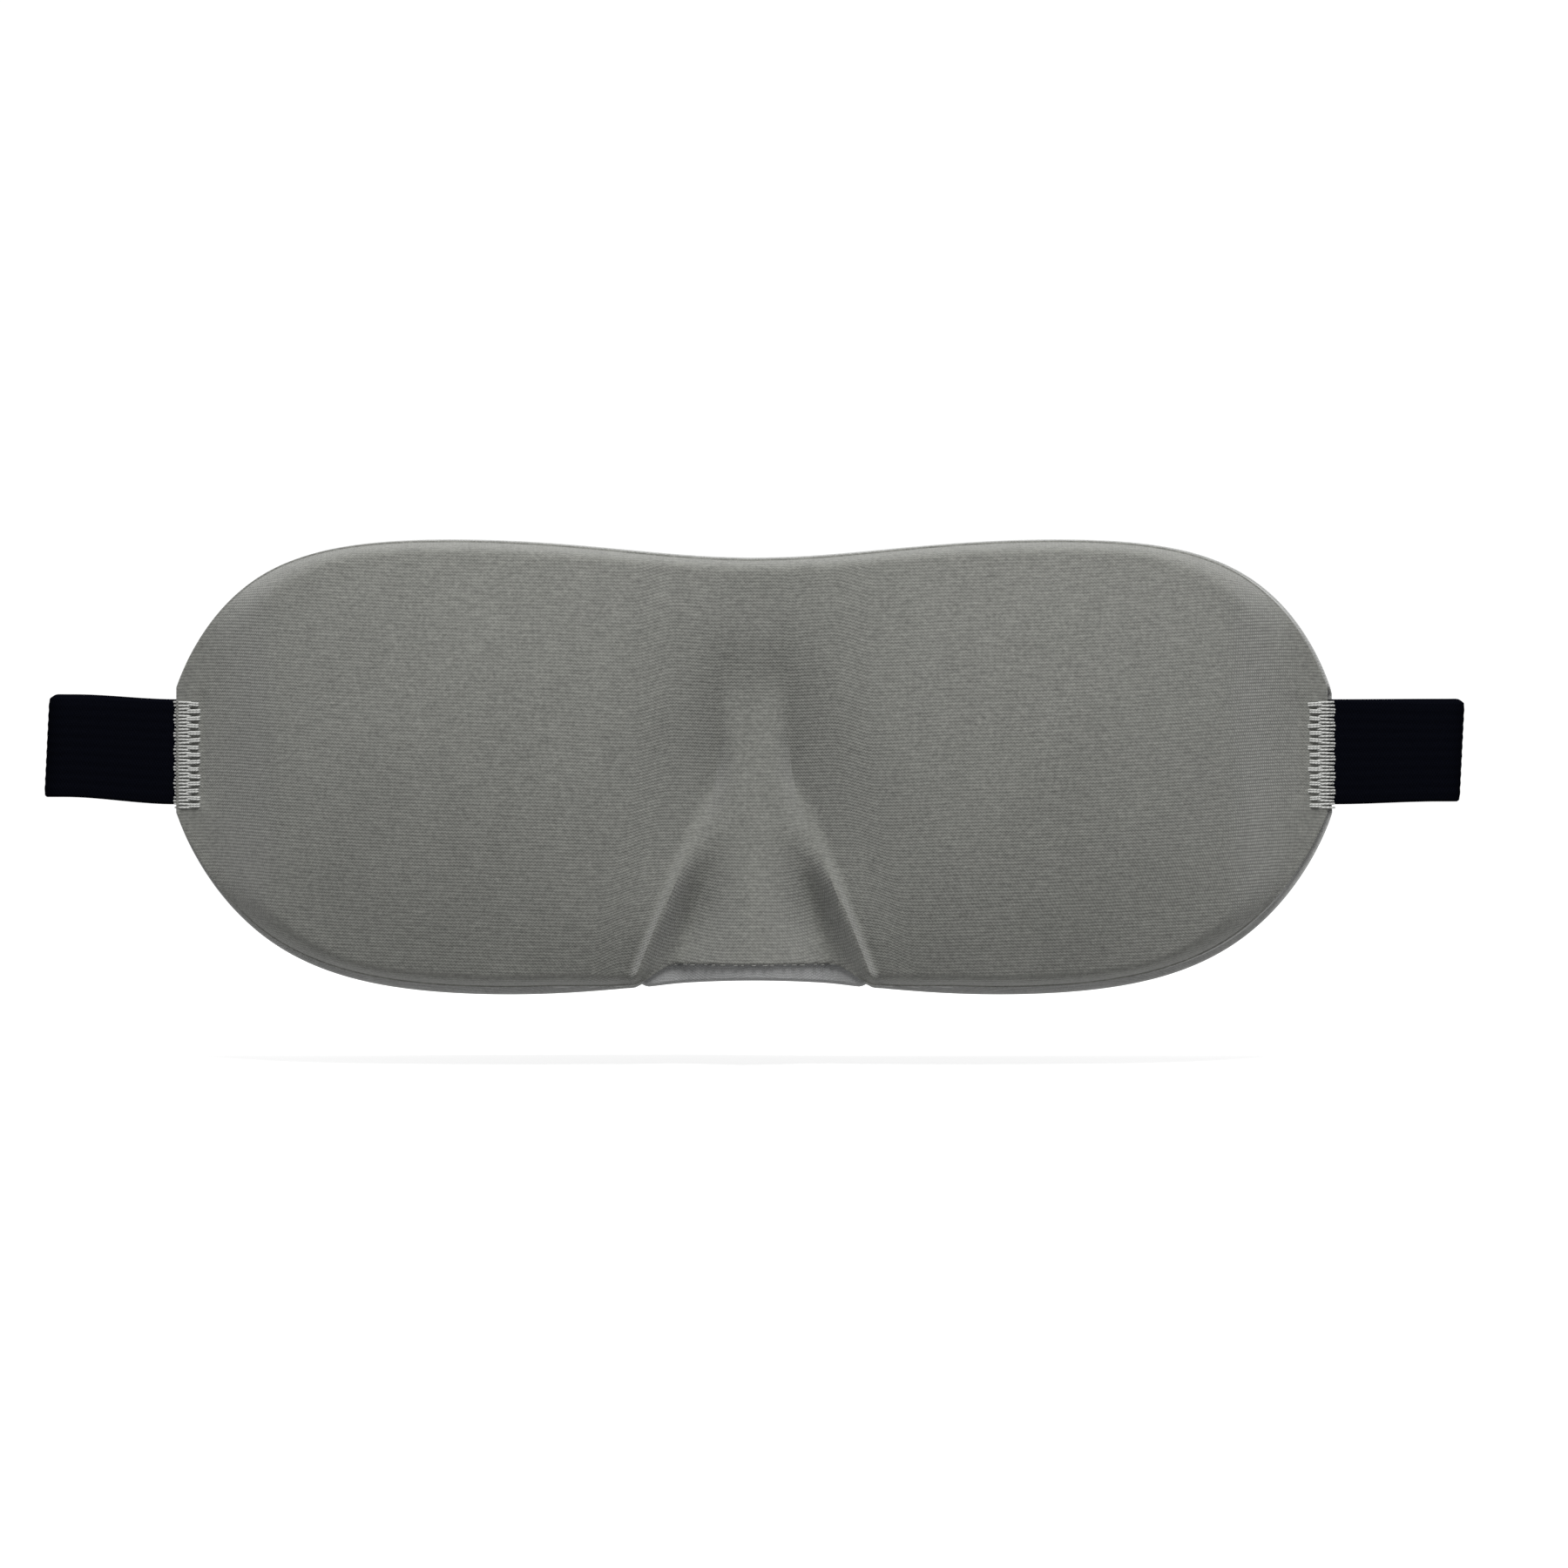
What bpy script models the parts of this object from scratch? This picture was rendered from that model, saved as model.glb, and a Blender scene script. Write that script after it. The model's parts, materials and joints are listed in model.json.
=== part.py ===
"""Contoured sleep eye mask with an adjustable elastic strap.

Frame: +X to the viewer's right, -Y towards the viewer (the outer face), +Z up.
The origin is the middle of the face side: y = 0 is the padded rim that rests on the
forehead and cheeks, z = 0 is half way up the mask. Left and right are the viewer's.
Shape functions work in millimetres; meshes are written in metres.
"""
import math

import bmesh
import bpy

MM = 0.001

# ---- driving sizes, mm -------------------------------------------------------
HALF_LENGTH = 115.2          # mask centre to either end of the padded rim
COVER_HALF_LENGTH = 114.6    # outer cover, a little inside the rim
FOAM_HALF_LENGTH = 107.0     # foam stops short of the sewn ends
SWEEP = 8.0                  # how far the ends curve back round the temples
RIM_DEPTH = 5.2              # face side to the cover's front at its edge
DOME_HEIGHT = 12.0           # eye dome above its shoulder
DOME_CENTRE = 56.0
CAVITY_DEPTH = 16.0          # eye cavity on the face side
CAVITY_CENTRE = (58.0, -1.0)
CAVITY_RADII = (36.0, 28.0)
DOME_REACH = 60.0            # from a dome's middle to where it would fade out
NOSE_ARCH = 8.0              # lift of the lower rim over the nose
CREST_HALF_WIDTH = 7.0       # nose section between its crest lines, at the bridge
CREST_SPREAD = 0.40          # how fast the crest lines part below the bridge
CREST_LIP = 2.8              # raised line along each crest
NOSE_HEIGHT = 11.4           # forward height of the bridge
NOSE_FLARE = 0.17            # how fast the nose section comes forward below the bridge
GROOVE_DEPTH = 2.6           # along the inner side of each crest line
LOW_GROOVE_DEPTH = 6.2       # more of it near the lower edge
VALLEY_DEPTH = 5.6           # outer side of each crest line, next to the domes
NOSE_EDGE = -38.9            # cover's lower edge over the nose
FABRIC = 0.7                 # outer cover and inner lining
GAP = 0.3                    # clearance between neighbouring layers

STRAP_WIDTH = 20.0
STRAP_THICKNESS = 1.2
STRAP_Z = 3.5                # middle of the strap's width
TAB_Y = 4.44                 # middle of the strap where it leaves the mask
SEAM_X = 115.7               # line on which each tab bends at the mask's end
TAB_START = 116.4
FOLD_X = 136.3               # line round which the strap turns back
FOLD_RADIUS = 3.9
RUN_Y = TAB_Y + 2.0 * FOLD_RADIUS

RING_WIRE = 0.9              # wire radius of the strap ring
RING_HALF_WIDTH = 11.5
RING_X = 9.0                 # ring bar that carries the right strap
BIGHT_RADIUS = 3.2           # long strap's turn round the ring's left bar
LOOP_RADIUS = 1.9            # right strap's sewn turn round the right bar
BAR_GAP = 0.3

SLIDER_X = -55.0
SLIDER_LENGTH = 14.0
SLIDER_HALF_HEIGHT = 13.0
BAR_THICKNESS = 1.2

GREY_FABRIC = (0.165, 0.168, 0.155)
BLUE_GREY_FABRIC = (0.20, 0.215, 0.22)
FOAM_GREY = (0.30, 0.30, 0.29)
ELASTIC_BLACK = (0.004, 0.004, 0.007)
THREAD_GREY = (0.42, 0.43, 0.43)
PLASTIC_BLACK = (0.012, 0.012, 0.014)


# ---- small maths --------------------------------------------------------------
def smoothstep(t):
    t = min(max(t, 0.0), 1.0)
    return t * t * (3.0 - 2.0 * t)


def lerp(a, b, t):
    return a + (b - a) * t


def edge_curve(x, height, end, dip, dip_width, power, root):
    """Height of an outline above or below the middle: a rounded slab with a dip at x = 0."""
    along = min(abs(x) / HALF_LENGTH, 1.0)
    slab = end + (height - end) * (1.0 - along**power) ** (1.0 / root)
    return slab - dip * math.exp(-((x / dip_width) ** 2))


def rim_top(x):
    return edge_curve(x, 45.5, 12.95, 4.1, 36.3, 7.8, 1.25)


def rim_bottom(x):
    return -edge_curve(x, 45.6, 7.8, 3.5, 29.5, 5.85, 1.25)


def nose_notch(x):
    """1 over the nose, where the cover is cut short, 0 from the cheeks outwards."""
    return 1.0 - smoothstep((abs(x) - 15.0) / 9.0)


def cover_top(x):
    return rim_top(x) - 0.5


def cover_bottom(x):
    lip = 0.6 + smoothstep((abs(x) - 22.0) / 20.0)
    return lerp(rim_bottom(x) + lip, NOSE_EDGE, nose_notch(x))


def lining_bottom(x):
    return lerp(rim_bottom(x), NOSE_EDGE - 0.8, nose_notch(x))


def soft_corner(value, softness):
    """0 well below 0 and the value itself well above, with a rounded corner between."""
    return softness * math.log1p(math.exp(min(value / softness, 40.0)))


def crest(z):
    """Half width of the nose section between its two crest lines."""
    return CREST_HALF_WIDTH + CREST_SPREAD * soft_corner(-2.0 - z, 2.5)


def sweep(x):
    return SWEEP * (x / HALF_LENGTH) ** 2


def nose_arch(x, z):
    return NOSE_ARCH * math.exp(-((x / 40.0) ** 2)) * smoothstep((5.0 - z) / 40.0)


def edge_distance(x, z):
    """Rough distance from the cover's outline."""
    step = 0.5
    top_slope = (cover_top(x + step) - cover_top(x - step)) / (2.0 * step)
    low_slope = (cover_bottom(x + step) - cover_bottom(x - step)) / (2.0 * step)
    above = (cover_top(x) - z) / math.hypot(1.0, top_slope)
    below = (z - cover_bottom(x)) / math.hypot(1.0, low_slope)
    return max(min(above, below, COVER_HALF_LENGTH - abs(x)), 0.0)


def dome_surface(x, z):
    """Forward height of the outer face outside the nose section."""
    width = abs(x)
    radius = lerp(2.4, 4.0, smoothstep((z + 24.0) / 30.0))
    radius = lerp(radius, 9.0, smoothstep((width - 76.0) / 26.0))
    reach = 1.0 - min(edge_distance(x, z) / radius, 1.0)
    shoulder = lerp(5.4, 4.5, smoothstep((width - 70.0) / 40.0)) * math.sqrt(1.0 - reach * reach)
    eased = math.hypot(width, 8.0 * smoothstep(z / 38.0))
    across = math.cos(0.5 * math.pi * min(abs(eased - DOME_CENTRE) / DOME_REACH, 1.0))
    upright = math.cos(0.5 * math.pi * min(abs(z - 1.0) / DOME_REACH, 1.0))
    spread = lerp(16.0, 26.0, smoothstep((24.0 - z) / 34.0))
    closeness = min(max(1.0 - (width - crest(z)) / spread, 0.0), 1.0)
    depth = VALLEY_DEPTH * smoothstep((30.0 - z) / 38.0) - 2.2 * smoothstep((-12.0 - z) / 24.0)
    valley = depth * closeness**1.7 * smoothstep((width + 1.0) / 7.0)
    height = RIM_DEPTH + 0.55 * nose_arch(x, z) + shoulder + DOME_HEIGHT * across * upright - valley
    return lerp(height, RIM_DEPTH, smoothstep((width - 93.0) / 18.0))


def nose_line(z):
    """Forward height along the middle of the nose section, which flares out below the bridge."""
    return NOSE_HEIGHT + NOSE_FLARE * soft_corner(7.0 - z, 7.0)


def front_height(x, z):
    """Forward height of the outer face, measured from the swept face line."""
    width, half = abs(x), crest(z)
    lip = CREST_LIP * smoothstep((1.0 - z) / 26.0)
    outside = dome_surface(x, z)
    if width >= half:
        return outside + lip * (1.0 - smoothstep((width - half) / 2.2))
    across = width / half
    foot = lerp(0.46, 0.66, smoothstep((-4.0 - z) / 22.0))
    wall = max((across - foot) / (1.0 - foot), 0.0) ** 1.5
    groove = GROOVE_DEPTH * smoothstep(-z / 32.0) + LOW_GROOVE_DEPTH * smoothstep((-12.0 - z) / 22.0)
    floor = nose_line(z) - groove * smoothstep(across / (foot + 0.16))
    inside = lerp(floor, dome_surface(half, z) + lip, wall)
    return lerp(inside, outside, smoothstep((z - 9.0) / 16.0))


def face_height(x, z):
    """Forward height of the face side: rim, eye cavities and the groove for the nose."""
    width = abs(x)
    across = (width - CAVITY_CENTRE[0]) / CAVITY_RADII[0]
    upright = (z - CAVITY_CENTRE[1]) / CAVITY_RADII[1]
    inside = across * across + upright * upright
    cavity = CAVITY_DEPTH * max(1.0 - inside * inside, 0.0)
    centre = front_height(0.0, z) - 4.5 - 0.75 * nose_arch(0.0, z)
    groove = centre * (1.0 - smoothstep((width - crest(z) + 2.0) / 7.0)) * smoothstep((32.0 - z) / 27.0)
    return min(0.75 * nose_arch(x, z) + cavity + groove, front_height(x, z) - 3.4)


# ---- materials and mesh helpers --------------------------------------------------
def principled(name, colour, roughness):
    material = bpy.data.materials.new(name)
    material.use_nodes = True
    shader = material.node_tree.nodes["Principled BSDF"]
    shader.inputs["Base Color"].default_value = (*colour, 1.0)
    shader.inputs["Roughness"].default_value = roughness
    shader.inputs["Metallic"].default_value = 0.0
    material.diffuse_color = (*colour, 1.0)
    return material


def pivot(name, position, parent=None):
    """An empty on a joint's axis, which carries the body that the joint moves."""
    empty = bpy.data.objects.new(name, None)
    empty.empty_display_size = 0.01
    bpy.context.collection.objects.link(empty)
    world = [value * MM for value in position]
    empty["world"] = world
    offset = list(parent["world"]) if parent else [0.0, 0.0, 0.0]
    empty.location = [a - b for a, b in zip(world, offset)]
    empty.parent = parent
    return empty


def add_object(name, bm, colour, roughness, carrier=None):
    """Link a finished bmesh, built in world millimetres, under the empty that carries it."""
    bmesh.ops.recalc_face_normals(bm, faces=bm.faces)
    offset = list(carrier["world"]) if carrier else [0.0, 0.0, 0.0]
    for vertex in bm.verts:
        vertex.co = [value * MM - shift for value, shift in zip(vertex.co, offset)]
    mesh = bpy.data.meshes.new(name)
    bm.to_mesh(mesh)
    bm.free()
    mesh.materials.append(principled(name, colour, roughness))
    mesh.shade_smooth()
    mesh.set_sharp_from_angle(angle=math.radians(35.0))
    obj = bpy.data.objects.new(name, mesh)
    bpy.context.collection.objects.link(obj)
    obj.parent = carrier
    return obj


def add_sheet(name, plan, front, back, colour, carrier=None):
    """A closed sheet over a grid of (x, z) points, between two grids of forward heights."""
    bm = bmesh.new()
    sides = []
    for heights in (front, back):
        grid = []
        for plan_row, height_row in zip(plan, heights):
            points = zip(plan_row, height_row)
            grid.append([bm.verts.new((x, sweep(x) - height, z)) for (x, z), height in points])
        sides.append(grid)
    rows, columns = len(plan), len(plan[0])
    for grid in sides:
        for j in range(rows - 1):
            for i in range(columns - 1):
                bm.faces.new((grid[j][i], grid[j][i + 1], grid[j + 1][i + 1], grid[j + 1][i]))
    loops = []
    for grid in sides:
        lower = grid[0]
        upper = grid[-1][::-1]
        right = [row[-1] for row in grid[1:-1]]
        left = [row[0] for row in grid[-2:0:-1]]
        loops.append(lower + right + upper + left)
    for k in range(len(loops[0])):
        following = (k + 1) % len(loops[0])
        bm.faces.new((loops[0][k], loops[0][following], loops[1][following], loops[1][k]))
    return add_object(name, bm, colour, 0.9, carrier)


def arc(centre, radius, start_deg, end_deg, steps):
    """Points of an arc in the XY plane, both ends included."""
    points = []
    for k in range(steps + 1):
        angle = math.radians(lerp(start_deg, end_deg, k / steps))
        points.append((centre[0] + radius * math.cos(angle), centre[1] + radius * math.sin(angle)))
    return points


def add_ribbon(name, path, colour=ELASTIC_BLACK, carrier=None, thickness=STRAP_THICKNESS, spans=None):
    """A flat band that follows a path in the XY plane and stands across the strap's width."""
    low, high = spans or (STRAP_Z - 0.5 * STRAP_WIDTH, STRAP_Z + 0.5 * STRAP_WIDTH)
    near, far = [], []
    for k, (x, y) in enumerate(path):
        before, after = path[max(k - 1, 0)], path[min(k + 1, len(path) - 1)]
        dx, dy = after[0] - before[0], after[1] - before[1]
        length = math.hypot(dx, dy)
        shift_x, shift_y = -dy / length * 0.5 * thickness, dx / length * 0.5 * thickness
        near.append((x + shift_x, y + shift_y))
        far.append((x - shift_x, y - shift_y))
    bm = bmesh.new()
    sections = []
    for (nx, ny), (fx, fy) in zip(near, far):
        corners = ((nx, ny, low), (nx, ny, high), (fx, fy, high), (fx, fy, low))
        sections.append([bm.verts.new(corner) for corner in corners])
    for first, second in zip(sections, sections[1:]):
        for k in range(4):
            following = (k + 1) % 4
            bm.faces.new((first[k], first[following], second[following], second[k]))
    bm.faces.new(sections[0])
    bm.faces.new(sections[-1][::-1])
    return add_object(name, bm, colour, 0.8, carrier)


# ---- the mask body ----------------------------------------------------------------
# Columns run outwards from the middle line. The one at CREST_COLUMN bends to follow the
# crest lines of the nose section, and its neighbours ease back to straight by EASE_COLUMN.
CREST_COLUMN = 14.0
EASE_COLUMN = 45.0
INNER_COLUMNS = (0.0, 2.5, 4.5, 6.0, 7.5, 9.0, 10.4, 11.7, 12.9, 14.0, 15.2, 16.8, 20.0, 25.0, 31.0,
                 38.0, 45.0, 53.0, 61.0, 69.0, 77.0, 84.0, 90.0, 95.5, 100.0, 104.0)
END_COLUMNS = (FOAM_HALF_LENGTH, FOAM_HALF_LENGTH + 0.3, 109.5, 112.0, COVER_HALF_LENGTH, HALF_LENGTH)
FOAM_ROWS = (0.0, 0.05, 0.12, 0.22, 0.34, 0.46, 0.58, 0.70, 0.80, 0.89, 0.95, 1.0)
EDGE_ROWS = 3                # lining edge, cover edge and foam clearance, at each side
FOAM_INSET = 1.1
CLEAR_INSET = 0.8


def bent_column(column, z):
    if column <= CREST_COLUMN:
        return column * crest(z) / CREST_COLUMN
    if column < EASE_COLUMN:
        share = (column - CREST_COLUMN) / (EASE_COLUMN - CREST_COLUMN)
        return lerp(crest(z), EASE_COLUMN, share)
    return column


def grid_point(column, row_height):
    """Solve x and z together: a row's height depends on x, and a bent column's x on z."""
    size = abs(column)
    x = size
    for _ in range(12):
        z = row_height(x)
        x = 0.5 * (x + bent_column(size, z))
    return math.copysign(x, column), z


def body_rows():
    """Each row's height as a function of x, from the lower rim to the upper rim."""
    rows = [lining_bottom, cover_bottom, lambda x: cover_bottom(x) + CLEAR_INSET]
    for share in FOAM_ROWS:
        rows.append(lambda x, share=share: lerp(cover_bottom(x) + FOAM_INSET,
                                                cover_top(x) - FOAM_INSET, share))
    rows += [lambda x: cover_top(x) - CLEAR_INSET, cover_top, rim_top]
    return rows


def make_mask_body():
    half = INNER_COLUMNS + END_COLUMNS
    columns = [-c for c in half[:0:-1]] + list(half)
    plan = [[grid_point(column, row) for column in columns] for row in body_rows()]
    front = [[front_height(x, z) for x, z in row] for row in plan]
    back = [[face_height(x, z) for x, z in row] for row in plan]

    def part_of(grid, rows, ends):
        last = len(columns) - ends
        return [row[ends:last] for row in grid[rows:len(grid) - rows]]

    def shifted(grid, amount):
        return [[value + amount for value in row] for row in grid]

    cover_front = part_of(front, 1, 1)
    add_sheet("outer_cover", part_of(plan, 1, 1), cover_front, shifted(cover_front, -FABRIC), GREY_FABRIC)

    foam_ends = len(END_COLUMNS) - 1
    foam_front = shifted(part_of(front, EDGE_ROWS, foam_ends), -(FABRIC + GAP))
    foam_back = shifted(part_of(back, EDGE_ROWS, foam_ends), FABRIC + GAP)
    add_sheet("foam_core", part_of(plan, EDGE_ROWS, foam_ends), foam_front, foam_back, FOAM_GREY)

    lining_front = []
    for j, (plan_row, front_row, back_row) in enumerate(zip(plan, front, back)):
        edge_row = j < EDGE_ROWS or j >= len(plan) - EDGE_ROWS
        heights = []
        for (x, _z), high, low in zip(plan_row, front_row, back_row):
            if abs(x) > FOAM_HALF_LENGTH + 0.2:
                heights.append(high - FABRIC - 2.0 * GAP - STRAP_THICKNESS)
            elif edge_row:
                heights.append(high - FABRIC - GAP)
            else:
                heights.append(low + FABRIC)
        lining_front.append(heights)
    add_sheet("inner_lining", plan, lining_front, back, GREY_FABRIC)


def small_plate(name, x_range, z_range, high, thickness, colour, steps=(4, 6), carrier=None):
    """A thin plate that follows the sweep; high(x, z) is its forward face."""
    plan = []
    for j in range(steps[1] + 1):
        z = lerp(z_range[0], z_range[1], j / steps[1])
        plan.append([(lerp(x_range[0], x_range[1], i / steps[0]), z) for i in range(steps[0] + 1)])
    front = [[high(x, z) for x, z in row] for row in plan]
    back = [[value - thickness for value in row] for row in front]
    return add_sheet(name, plan, front, back, colour, carrier)


def make_sewn_ends():
    for side, sign in (("left", -1.0), ("right", 1.0)):
        anchor_top = RIM_DEPTH - FABRIC - GAP
        strap = (STRAP_Z - 0.5 * STRAP_WIDTH, STRAP_Z + 0.5 * STRAP_WIDTH)
        stitches = (STRAP_Z - 11.4, STRAP_Z + 9.8)
        spans = sorted((sign * 109.9, sign * 115.3))
        small_plate(f"{side}_strap_anchor", spans, strap, lambda x, z: anchor_top,
                    STRAP_THICKNESS, ELASTIC_BLACK)
        spans = sorted((sign * 110.4, sign * 114.9))
        small_plate(f"{side}_bartack_front", spans, stitches, lambda x, z: RIM_DEPTH + GAP + 0.5,
                    0.5, THREAD_GREY)
        small_plate(f"{side}_bartack_back", spans, stitches, lambda x, z: -GAP, 0.4, THREAD_GREY)


def make_nose_seam_thread():
    """The row of stitches that runs under the cover's edge over the nose."""
    half = 14.0
    small_plate("nose_seam_thread", (-half, half), (NOSE_EDGE - 0.75, NOSE_EDGE - 0.3),
                lambda x, z: front_height(x, NOSE_EDGE) - 0.1, 0.4, THREAD_GREY, steps=(24, 1))


FLAP_TOP = -14.0
FLAP_BOTTOM = -42.4
FLAP_THICKNESS = 1.8
FLAP_GAP = 1.3


def flap_front(x, z):
    """Forward height of the flap; its lower corners stand back, clear of the rim's ends."""
    corner = 3.5 * smoothstep((abs(x) - 8.0) / 9.0) * smoothstep((-28.0 - z) / 9.0)
    return face_height(x, max(z, NOSE_EDGE)) - FLAP_GAP - corner


def flap_pivot():
    """The flap's top edge, where it is sewn to the lining."""
    return (0.0, -(flap_front(0.0, FLAP_TOP) - 0.5 * FLAP_THICKNESS), FLAP_TOP)


def make_nose_flap():
    carrier = pivot("nose_flap_axis", flap_pivot())
    plan = []
    for j in range(13):
        z = lerp(FLAP_BOTTOM, FLAP_TOP, j / 12)
        half = min(crest(z) - 2.6, 18.6)
        plan.append([(half * i / 12, z) for i in range(-12, 13)])
    front = [[flap_front(x, z) for x, z in row] for row in plan]
    back = [[value - FLAP_THICKNESS for value in row] for row in front]
    add_sheet("nose_flap", plan, front, back, BLUE_GREY_FABRIC, carrier)


# ---- the strap -------------------------------------------------------------------
def mirrored(path, sign):
    return [(sign * x, y) for x, y in path]


def make_tab_and_fold(side, sign):
    """The visible end of the strap, and its turn behind the mask."""
    seam = pivot(f"{side}_tab_axis", (sign * SEAM_X, TAB_Y, STRAP_Z))
    path = [(TAB_START, TAB_Y), (FOLD_X - 0.3, TAB_Y)]
    add_ribbon(f"{side}_tab", mirrored(path, sign), carrier=seam)
    turn = arc((FOLD_X, TAB_Y + FOLD_RADIUS), FOLD_RADIUS, -90.0, 90.0, 12)
    add_ribbon(f"{side}_fold", mirrored(turn, sign), carrier=seam)
    fold = pivot(f"{side}_strap_axis", (sign * FOLD_X, TAB_Y + FOLD_RADIUS, STRAP_Z), seam)
    return fold


RETURN_Y = RUN_Y + 2.0 * BIGHT_RADIUS
MIDDLE_BAR_Y = RUN_Y + 1.5 * STRAP_THICKNESS + 2.0 * BAR_GAP + 0.5 * BAR_THICKNESS
END_LOOP_RADIUS = 0.5 * BAR_THICKNESS + BAR_GAP + 0.5 * STRAP_THICKNESS
END_LOOP_TOP = MIDDLE_BAR_Y + END_LOOP_RADIUS
END_LOOP_X = SLIDER_X + 10.0


def make_long_strap(carrier):
    """The run behind the head and its turn round the ring's left bar."""
    path = [(-FOLD_X + 0.3, RUN_Y), (-90.0, RUN_Y), (-45.0, RUN_Y)]
    path += arc((0.0, RUN_Y + BIGHT_RADIUS), BIGHT_RADIUS, -90.0, 90.0, 12)
    path += [(-3.0, RETURN_Y)]
    add_ribbon("long_strap", path, carrier=carrier)
    path = [(END_LOOP_X + 0.3, END_LOOP_TOP), (-3.3, RETURN_Y)]
    add_ribbon("strap_return", path, carrier=carrier)


def make_slider(strap_axis):
    """Three-bar slide buckle: the run passes between its bars, its middle bar holds the strap's end."""
    carrier = pivot("slider_axis", (SLIDER_X, RUN_Y, STRAP_Z), strap_axis)
    outer_y = RUN_Y - 0.5 * STRAP_THICKNESS - BAR_GAP - 0.5 * BAR_THICKNESS
    rail_low = outer_y - 0.5 * BAR_THICKNESS
    rail_high = MIDDLE_BAR_Y + 0.5 * BAR_THICKNESS
    rail_width = SLIDER_HALF_HEIGHT - 10.6
    half = 0.5 * SLIDER_LENGTH
    bar = 2.2
    boxes = []
    for sign in (-1.0, 1.0):
        rail_z = STRAP_Z + sign * (SLIDER_HALF_HEIGHT - 0.5 * rail_width)
        boxes.append(((0.0, 0.5 * (rail_low + rail_high), rail_z),
                      (SLIDER_LENGTH, rail_high - rail_low, rail_width)))
        boxes.append(((sign * (half - 0.5 * bar), outer_y, STRAP_Z), (bar, BAR_THICKNESS, 24.0)))
    boxes.append(((0.0, MIDDLE_BAR_Y, STRAP_Z), (bar, BAR_THICKNESS, 24.0)))
    frame = None
    for k, (centre, size) in enumerate(boxes):
        bm = bmesh.new()
        bmesh.ops.create_cube(bm, size=1.0)
        for vertex in bm.verts:
            vertex.co = [c + value * s for c, value, s in zip(centre, vertex.co, size)]
            vertex.co.x += SLIDER_X
        name = "slider_frame" if k == 0 else f"slider_piece_{k}"
        box = add_object(name, bm, PLASTIC_BLACK, 0.35, carrier)
        if frame is None:
            frame = box
            continue
        box.hide_render = True
        box.display_type = "WIRE"
        union = frame.modifiers.new(f"join_{k}", "BOOLEAN")
        union.operation = "UNION"
        union.solver = "EXACT"
        union.object = box
    rounding = frame.modifiers.new("rounding", "BEVEL")
    rounding.width = 0.25 * MM
    rounding.segments = 1
    rounding.limit_method = "ANGLE"

    under = MIDDLE_BAR_Y - END_LOOP_RADIUS
    path = [(END_LOOP_X - 1.5, under), (SLIDER_X + 1.1, under), (SLIDER_X - 0.8, under)]
    turn = arc((SLIDER_X - 0.8, MIDDLE_BAR_Y), END_LOOP_RADIUS, -90.0, -270.0, 10)
    path += turn[1:] + [(SLIDER_X + 1.1, END_LOOP_TOP), (END_LOOP_X, END_LOOP_TOP)]
    add_ribbon("strap_end_loop", path, carrier=carrier)
    stitches = [(SLIDER_X + 5.5, END_LOOP_TOP + 0.5 * STRAP_THICKNESS + 0.5),
                (SLIDER_X + 8.5, END_LOOP_TOP + 0.5 * STRAP_THICKNESS + 0.5)]
    add_ribbon("slider_bartack", stitches, THREAD_GREY, carrier, 0.4,
               (STRAP_Z - 9.6, STRAP_Z + 9.6))


RING_RIGHT_Y = RUN_Y + LOOP_RADIUS
RING_LEFT_Y = RUN_Y + BIGHT_RADIUS


def make_right_strap(carrier):
    """The shorter back run, sewn into a loop round the ring's right bar."""
    top = RUN_Y + 2.0 * LOOP_RADIUS
    folded_y = RUN_Y + STRAP_THICKNESS + 0.3
    path = [(FOLD_X - 0.3, RUN_Y), (90.0, RUN_Y), (24.0, RUN_Y), (14.0, RUN_Y), (RING_X, RUN_Y)]
    turn = arc((RING_X, RING_RIGHT_Y), LOOP_RADIUS, -90.0, -270.0, 12)
    path += turn[1:] + [(RING_X + 1.5, top), (RING_X + 5.5, folded_y), (RING_X + 12.0, folded_y)]
    add_ribbon("right_strap", path, carrier=carrier)
    stitch_y = folded_y + 0.5 * STRAP_THICKNESS + 0.5
    stitches = [(RING_X + 7.5, stitch_y), (RING_X + 10.5, stitch_y)]
    add_ribbon("ring_bartack", stitches, THREAD_GREY, carrier, 0.4, (STRAP_Z - 9.6, STRAP_Z + 9.6))


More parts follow.
